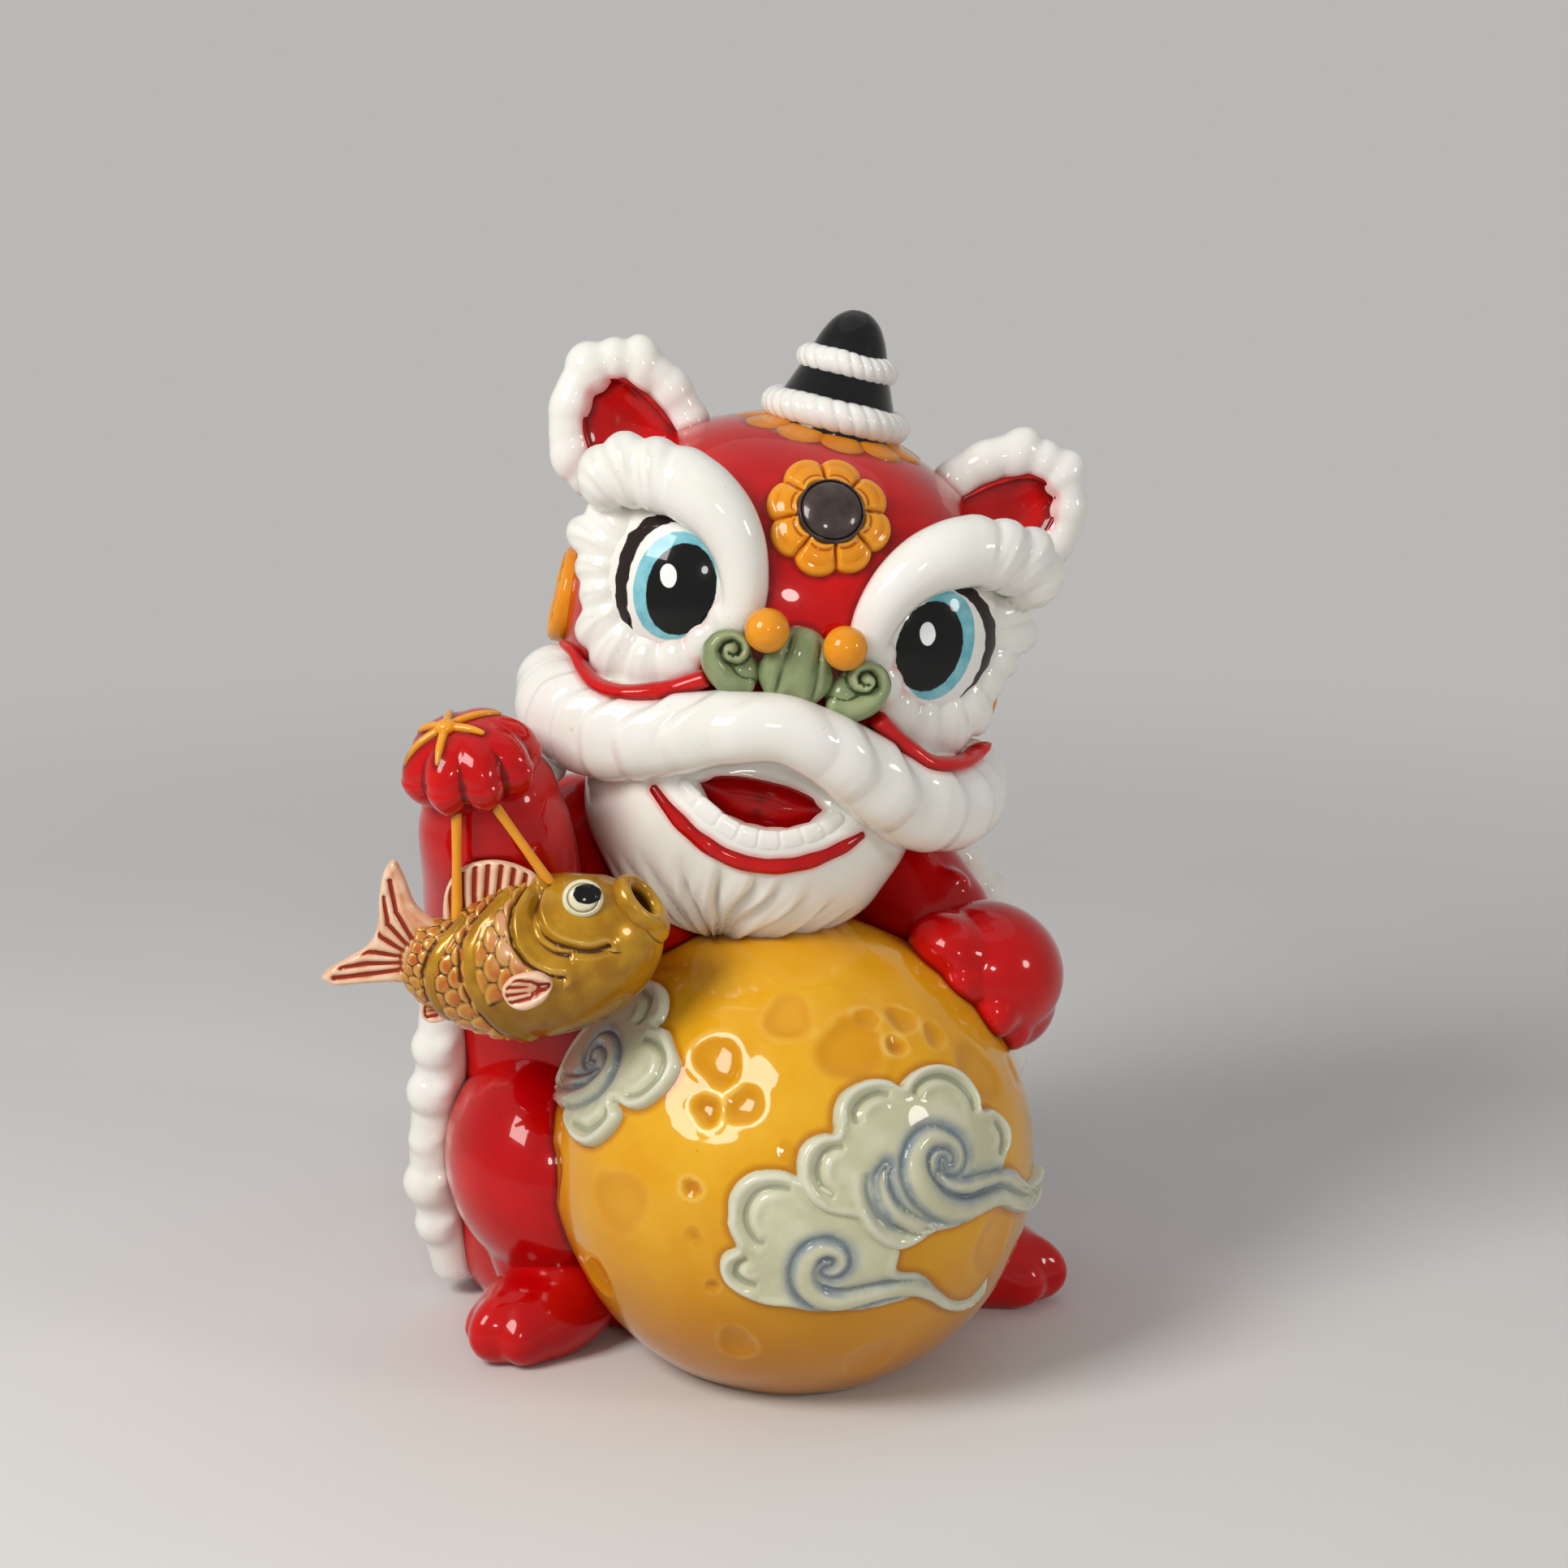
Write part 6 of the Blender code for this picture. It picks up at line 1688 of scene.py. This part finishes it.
def make_carp():
    rings, sides = 330, 280
    path, place = through(CARP_STATIONS, rings)
    centres = path[:, :3] + WRIST
    tangents = unit(np.gradient(centres, axis=0))
    theta = np.arange(sides) * math.tau / sides
    cap = np.linspace(0, 1, 16, endpoint=False)[1:]
    ends = centres[-1] + tangents[-1] * (np.sin(cap * math.pi / 2) * path[-1, 3] * 0.55)[:, None]
    centres = np.vstack([centres, ends])
    tangents = np.vstack([tangents, np.repeat(tangents[-1:], len(cap), 0)])
    radius = np.concatenate([path[:, 3], path[-1, 3] * np.cos(cap * math.pi / 2)])
    place = np.concatenate([place, np.full(len(cap), place[-1])])
    flat = sections(centres, tangents, CARP_SIDE, radius[:, None] + 0 * theta,
                    radius[:, None] * 0.84 + 0 * theta, theta[None, :])
    outwards = unit(flat - centres[:, None])
    u, v = carp_view(flat)
    gill_u = np.interp(v, [p[1] for p in GILL[::-1]], [p[0] for p in GILL[::-1]])
    scaled = 1 - ease(u, gill_u - 1.2, gill_u - 0.4)
    mid_u = np.interp(v, [p[1] for p in MID_RIDGE[::-1]], [p[0] for p in MID_RIDGE[::-1]])
    scaled = scaled * (1 - ease(u - mid_u, 0.0, 1.5) * ease(-v + 0.37 * (u + 9), 10.3, 11.3))
    length = np.concatenate([[0], np.cumsum(np.linalg.norm(np.diff(centres, axis=0), axis=1))])
    run = np.log1p(0.0125 * length[:, None]) / 0.028
    mirrored = np.where(theta > math.pi, math.tau - theta, theta)
    lift, edge = scale_relief(run + 0 * theta, (mirrored / math.pi)[None, :] + 0 * run, 8)
    height = scaled * (lift * np.interp(radius, (5, 12), (1.25, 2.1))[:, None] - 0.75)
    for ridge, size in ((MID_RIDGE, 1.0), (TAIL_RIDGE, 0.8)):
        gap, _ = to_line(u, v, ridge)
        behind = np.interp(v, [p[1] for p in ridge[::-1]], [p[0] for p in ridge[::-1]])
        height = height * ease(gap, 0.9 * size,
                               1.9 * size) + 0.95 * size * np.exp(-((gap / (1.5 * size)) ** 3))
        height -= 0.7 * np.exp(-(((u - behind + 2.1 * size) / 0.55) ** 2)) * (gap < 4)
    gap, _ = to_line(u, v, through(GILL, 40)[0])
    crest = 0.9 * np.exp(-(((gap - 1.1) / 1.3) ** 2)) * (u > gill_u - 0.3)
    height += crest - 0.9 * np.exp(-((gap / 0.7) ** 2)) * (u < gill_u + 0.4)
    gap, _ = to_line(u, v, through(inner_gill(), 40)[0])
    height -= 0.8 * np.exp(-((gap / 0.75) ** 2))
    gap, _ = to_line(u, v, through(SMILE, 48)[0])
    height -= 1.15 * np.exp(-((gap / 1.05) ** 2))
    inner_u = np.interp(v, [p[1] for p in SMILE[:5][::-1]], [p[0] for p in SMILE[:5][::-1]])
    height += 0.7 * np.exp(-(((gap - 1.4) / 1.1) ** 2)) * ((u > inner_u) & (v > 0.2))
    points = (flat + outwards * height[..., None]).reshape(-1, 3)
    local = turned_by(MOUTH_PLACE.inverted(), points)
    reach = np.hypot(local[:, 0], local[:, 1] / 1.22)
    floor = -4.2 + 7.0 * ease(reach, 2.4, 4.8)
    local[:, 2] = np.where((reach < 4.8) & (local[:, 2] > floor) & (local[:, 2] < 8), floor, local[:, 2])
    body = loft("carp_scales", turned_by(MOUTH_PLACE, local).reshape(flat.shape))
    smooth(body, 3)
    flat_edge = np.append(edge.ravel() * scaled.ravel() * (height.ravel() > -0.4), (0, 0))
    mark(body, "scaled", np.append((scaled * (to_line(u, v, MID_RIDGE)[0] > 1.2)
                                    * (to_line(u, v, TAIL_RIDGE)[0] > 1.0)).ravel(), (0, 0)))
    mark(body, "edge", flat_edge)
    near_gill = ease(u, -9, -3) * (1 - ease(np.abs(v - 3.5), 3.5, 8.5)) * scaled
    mark(body, "lit", np.append(near_gill.ravel(), (0, 0)))
    keep(body, "gold_glaze", "carp_body", rounds=2)
    make_carp_face()
    make_fins()


def make_carp_face():
    place = MOUTH_PLACE
    rows = 26
    angle = np.arange(90) * math.tau / 90
    section = np.arange(rows) * math.tau / rows
    reach = 4.1 + 1.45 * np.cos(section)[None, :]
    stretch = np.stack([1.0 + 0 * angle, 1.22 + 0 * angle], -1)
    grid = np.stack([reach * np.cos(angle)[:, None] * stretch[:, :1],
                     reach * np.sin(angle)[:, None] * stretch[:, 1:],
                     0.4 + 2.1 * np.sin(section)[None, :] + 0 * reach + 0 * angle[:, None]], -1)
    lips = solid("lip_ring", turned_by(place, grid).reshape(-1, 3), tube_faces(90, rows, True))
    bowl = lump((0, 0, -4.9), (4.6, 5.4, 2.4), matrix=place, level=4)
    made = melt("carp_mouth_ring", [lips, bowl], 0.22, 2)
    local = turned_by(place.inverted(), points_of(made))
    # Marks the painted shade deep inside the open mouth
    mark(made, "throat", (1 - ease(np.hypot(local[:, 0], local[:, 1] / 1.22), 2.6, 3.7))
         * (1 - ease(local[:, 2], 0.2, 1.4)))
    keep(made, "gold_glaze", "carp_lips")
    spot = WRIST + (12.0, -27.4, -14.4)
    ahead = unit(np.array([-0.22, -0.90, 0.36]))
    eye_place = facing(spot, ahead)

    def shape(d):
        reach = np.hypot(d[:, 0], d[:, 1])
        height = np.where(d[:, 2] > 0, 2.1 * d[:, 2],
                          3.0 * d[:, 2]) - 0.45 * np.exp(-(((reach - 0.74) / 0.06) ** 2)) * (d[:, 2] > 0)
        return turned_by(eye_place, np.stack([d[:, 0] * 4.2, d[:, 1] * 3.9, height], -1))

    eye = globe("carp_eyeball", 5, shape)
    local = turned_by(eye_place.inverted(), points_of(eye))
    mark(eye, "pupil", np.where(local[:, 2] > 0,
                                2.1 - np.hypot((local[:, 0] - 0.9) / 1.4, local[:, 1] - 0.7), -1))
    keep(eye, "white_glaze", "carp_eye", glaze="carp_eye", rounds=1)


def fin(name, outline, rays, thickness, spot, node, root, groove=0.8):
    """A fin cut to an outline in its own (x, z), with grooves between rays that fan out from the root."""
    edge = through(outline, 160, closed=True)[0]
    turn = Matrix.Translation(Vector(WRIST + spot)) @ Matrix.Rotation(math.radians(-18), 4, "Z")
    lines = [np.array(ray, float) for ray in rays]

    def inside(x, z):
        return inside_outline(x, z, edge)

    def half(x, z, depth):
        swell = thickness / 2 * np.sqrt(np.clip(1 - (1 - np.clip(depth / 1.5, 0, 1)) ** 2, 0, 1)) + 0.05
        for ray in lines:
            gap, along = to_line(x, z, ray)
            swell = swell - groove * np.exp(-((gap / 0.75) ** 2)) * ease(depth, 0.15, 1.1)
        return np.maximum(swell, 0.05)

    def shape(x, z, y):
        return turned_by(turn, np.stack([x, y, z], -1))

    box = (edge[:, 0].min() - 0.5, edge[:, 0].max() + 0.5, edge[:, 1].min() - 0.5, edge[:, 1].max() + 0.5)
    made = slab(name, inside, 0.2, box, lambda x, z, d: -half(x, z, d), lambda x, z, d: half(x, z, d),
                shape)
    local = turned_by(turn.inverted(), points_of(made))
    mark(made, "root", 1 - ease(np.hypot(local[:, 0] - root[0], local[:, 2] - root[1]), root[2] * 0.6,
                                root[2]))
    smooth(made, 1)
    keep(made, "carp_red_glaze", node, rounds=2)


TAIL_FIN = ((6, 6.0), (1.5, 10.5), (-0.6, 16), (-2.6, 19.8), (-4.9, 17.3), (-6.0, 12), (-6.4, 6.5),
            (-8.2, 2.2), (-12.5, -0.8), (-16.4, -3.0),
            (-18.2, -5.2), (-15.6, -6.9), (-10.5, -6.6), (-4, -6.2), (2, -6.4), (6.5, -4), (8, 1))
TAIL_RAYS = (((0.5, 3.5), (-2.5, 9), (-3.6, 15.5)), ((-0.5, 2.2), (-4.2, 6.5), (-5.0, 12)),
             ((-1.5, 1), (-5.5, 3.6), (-7.0, 5)),
             ((-2, -0.4), (-7.0, 0.5), (-9.5, 0.6)), ((-2, -1.8), (-8.5, -1.9), (-14, -2.8)),
             ((-2, -3.2), (-9, -4.2), (-15.4, -5.0)))
DORSAL_FIN = ((-9.5, -5.5), (-10, 0.5), (-8.2, 5.3), (-4.5, 8.2), (1, 9.0), (6.2, 7.6), (10, 4.5), (11, -3),
              (8, -7), (-4, -8))
PECTORAL_FIN = ((4.2, 2.2), (1.2, 3.9), (-3.4, 3.0), (-5.9, 0.2), (-4.9, -3.0), (-1.8, -4.4), (2.0, -3.0),
                (4.0, -0.2))
ANAL_FIN = ((6, 4.5), (-1, 3.2), (-4.6, 1.6), (-4.8, -1.6), (-2.4, -2.9), (2.5, -1.4), (6, 0.5))


def make_fins():
    fin("carp_tail_fin", TAIL_FIN, TAIL_RAYS, 3.6, (-20, -9.5, -28), "carp_tail", (4, -1, 9))
    rays = [((-8 + 2.3 * k, -6), (-8.6 + 2.45 * k, 2), (-8.9 + 2.75 * k, 9.0)) for k in range(8)]
    fin("carp_back_fin", DORSAL_FIN, rays, 2.9, (-3.5, -14, -17.5), "carp_dorsal_fin", (0, -9, 8))
    rays = [((4.5, 0.6 + 0.25 * k), (0, 1.6 - 1.1 * k + 0.3), (-4.9, 2.4 - 1.7 * k)) for k in range(4)]
    fin("carp_side_fin", PECTORAL_FIN, rays, 3.4, (0.5, -29.3, -32), "carp_pectoral_fin", (6.5, 1, 4))
    rays = [((4, 2.4 - 0.8 * k), (-0.5, 1.4 - 1.1 * k), (-4.4, 0.9 - 1.2 * k)) for k in range(3)]
    fin("carp_belly_fin", ANAL_FIN, rays, 3.0, (-13.5, -12, -40), "carp_anal_fin", (5, 3, 4))


def make_cords():
    for name, top, bottom, node in (("cord_rear", (-10.8, -15, 4), (-10.8, -13, -20), "rear_carp_cord"),
                                    ("cord_front", (-5, -18, 6), (8, -19, -14), "front_carp_cord")):
        rows = [(*(WRIST + top), 1.15), (*((WRIST + top + WRIST + bottom) / 2), 0.98),
                (*(WRIST + bottom), 1.2)]
        keep(roll(name, rows, 80, 24, (0, -1, 0)), "amber_glaze", node)
    middle = np.array([-3.4, -0.6])

    def on_paw(spot):
        """The spot of the paw's top that lies over this place, in its own frame."""
        level = PAW_HALF[2] * math.sqrt(max(0.04,
                                            1 - (spot[0] / PAW_HALF[0]) ** 2
                                            - (spot[1] / PAW_HALF[1]) ** 2))
        return turned_by(PAW_PLACE, np.array([[*spot, level]]))[0]

    parts = [lump(on_paw(middle), (2.4, 2.4, 1.9))]
    for angle, length in ((8, 11.5), (-42, 8.0), (70, 9.5), (118, 9.0), (172, 9.6), (236, 8.4)):
        ahead = np.array([math.cos(math.radians(angle)), math.sin(math.radians(angle))])
        rows = [(*on_paw(middle + ahead * length * share), radius)
                for share, radius in ((0, 1.15), (0.25, 1.05), (0.5, 1.0), (0.75, 0.9), (1.0, 0.6))]
        parts.append(roll("strand", rows, 30, 20, (0, 0, 1)))
    keep(melt("knot_on_paw", parts, 0.25, 3), "amber_glaze", "paw_cord_knot")


# Floor, lamps and camera


def make_stage():
    bpy.ops.object.select_all(action="DESELECT")
    bpy.ops.mesh.primitive_circle_add(vertices=96, radius=6.0, fill_type="NGON")
    floor = bpy.context.object
    floor.name = "studio_floor"
    floor.location = (0, 0, -0.0001)
    glaze = Glaze("floor_paper", **{"Roughness": 0.85, "Coat Weight": 0.0, "Specular IOR Level": 0.2})
    shade = glaze.noise(60.0, 2.0).step(0.2, 0.8)
    glaze.feed(Base_Color=glaze.mix(shade, (0.70, 0.685, 0.66), (0.715, 0.70, 0.675)))
    centre = glaze.node("ShaderNodeVectorMath", {"operation": "LENGTH"}, {0: glaze.place()}, 1)
    light = glaze.node("ShaderNodeLightPath")
    seen = light
    for ray in ("Is Glossy Ray", "Is Transmission Ray"):
        seen = seen.over(Signal(glaze, light.socket.node.outputs[ray]))
    far = centre.step(260.0, 700.0) * seen
    glow = glaze.node("ShaderNodeEmission", {}, {"Color": (*BACKGROUND, 1.0), "Strength": 1.0})
    mixed = glaze.node("ShaderNodeMixShader", {},
                       {0: far, 1: Signal(glaze, glaze.shader.outputs[0]), 2: glow})
    output = glaze.tree.nodes["Material Output"]
    glaze.tree.links.new(mixed.socket, output.inputs["Surface"])
    floor.data.materials.append(glaze.material)


BACKGROUND = (0.49, 0.48, 0.465)


def make_world():
    world = bpy.data.worlds.new("studio")
    bpy.context.scene.world = world
    world.use_nodes = True
    nodes, links = world.node_tree.nodes, world.node_tree.links
    nodes.clear()
    path = nodes.new("ShaderNodeLightPath")
    seen = nodes.new("ShaderNodeBackground")
    seen.inputs["Color"].default_value = (*BACKGROUND, 1)
    lit = nodes.new("ShaderNodeBackground")
    lit.inputs["Color"].default_value = (0.80, 0.82, 0.86, 1)
    lit.inputs["Strength"].default_value = 0.31
    mix = nodes.new("ShaderNodeMixShader")
    output = nodes.new("ShaderNodeOutputWorld")
    either = path.outputs["Is Camera Ray"]
    for ray in ("Is Glossy Ray", "Is Transmission Ray"):
        larger = nodes.new("ShaderNodeMath")
        larger.operation = "MAXIMUM"
        links.new(either, larger.inputs[0])
        links.new(path.outputs[ray], larger.inputs[1])
        either = larger.outputs[0]
    links.new(either, mix.inputs[0])
    links.new(lit.outputs[0], mix.inputs[1])
    links.new(seen.outputs[0], mix.inputs[2])
    links.new(mix.outputs[0], output.inputs[0])


def lamp(name, spot, target, shape, size, power, colour=(1, 1, 1)):
    data = bpy.data.lights.new(name, "AREA")
    data.shape, data.size = shape, size
    data.energy, data.color = power, colour
    made = bpy.data.objects.new(name, data)
    bpy.context.scene.collection.objects.link(made)
    made.location = spot
    made.rotation_euler = (Vector(target) - Vector(spot)).to_track_quat("-Z", "Y").to_euler()


def make_lamps():
    lamp("window_left", (-0.70, -0.34, 0.70), (0, 0, 0.1), "SQUARE", 0.38, 7.0, (1, 0.985, 0.96))
    lamp("window_right", (0.80, -0.80, 0.50), (0, 0, 0.1), "DISK", 0.22, 2.2, (1, 0.97, 0.93))
    lamp("front_fill", (-0.25, -1.30, 0.55), (0, 0, 0.1), "DISK", 0.17, 1.9, (1, 0.98, 0.96))
    lamp("ceiling", (0.1, 0.15, 1.2), (0, 0, 0.1), "DISK", 1.4, 1.5)


def make_camera():
    """An 85 mm lens 0.8 m from the moon, 18 degrees round to the left and 14 up."""
    azimuth, elevation, distance = math.radians(PHOTO_TURN), math.radians(PHOTO_RISE), PHOTO_DISTANCE * MM
    back = Vector((math.sin(azimuth) * math.cos(elevation), -math.cos(azimuth) * math.cos(elevation),
                   math.sin(elevation)))
    right = Vector((math.cos(azimuth), math.sin(azimuth), 0))
    up = back.cross(right)
    aside = (MOON_PIXEL[0] - PHOTO_PIXELS / 2) * distance / PHOTO_FOCAL
    below = (MOON_PIXEL[1] - PHOTO_PIXELS / 2) * distance / PHOTO_FOCAL
    spot = Vector(MOON_CENTRE) * MM + back * distance - right * aside + up * below
    data = bpy.data.cameras.new("camera")
    data.lens, data.sensor_width = PHOTO_LENS, PHOTO_SENSOR
    data.clip_start, data.clip_end = 0.05, 60
    made = bpy.data.objects.new("camera", data)
    bpy.context.scene.collection.objects.link(made)
    matrix = Matrix((right, up, back)).transposed().to_4x4()
    matrix.translation = spot
    made.matrix_world = matrix
    bpy.context.scene.camera = made


def glaze_the_seams():
    """Where glazes meet, red bleeds into white, and most other colours are marked for painted shade along the
    joints, where glaze also pools.
    """
    red = [thing for thing, slot in pieces.values() if slot == "red_glaze"]
    rest = [thing for thing, slot in pieces.values() if slot != "red_glaze"]
    red_tree = surface_tree(red)
    rest_tree = surface_tree(rest)
    for thing, slot in pieces.values():
        if slot == "white_glaze":
            mark_seam(thing, red_tree, "bleed", 2.0)
        elif slot == "red_glaze":
            mark_seam(thing, rest_tree, "seam", 2.6)
        elif slot in ("amber_glaze", "jade_glaze", "black_glaze"):
            mark_seam(thing, red_tree, "seam", 1.6)
    moon = pieces["moon_ball"][0]
    others = [thing for thing, slot in pieces.values() if thing is not moon and thing.name != "head_dome"]
    mark_seam(moon, surface_tree(others), "seam", 2.6)


def main():
    bpy.context.scene.view_settings.view_transform = "Standard"
    make_camera()
    make_world()
    make_lamps()
    make_stage()
    make_moon()
    make_clouds()
    make_torso()
    make_legs()
    make_arms()
    make_paws()
    make_head()
    make_jaw()
    make_nose()
    make_cheeks()
    make_moustache()
    make_eyes()
    make_flower()
    make_horn()
    make_ears()
    make_carp()
    make_cords()
    make_cape_trim()
    glaze_the_seams()


main()
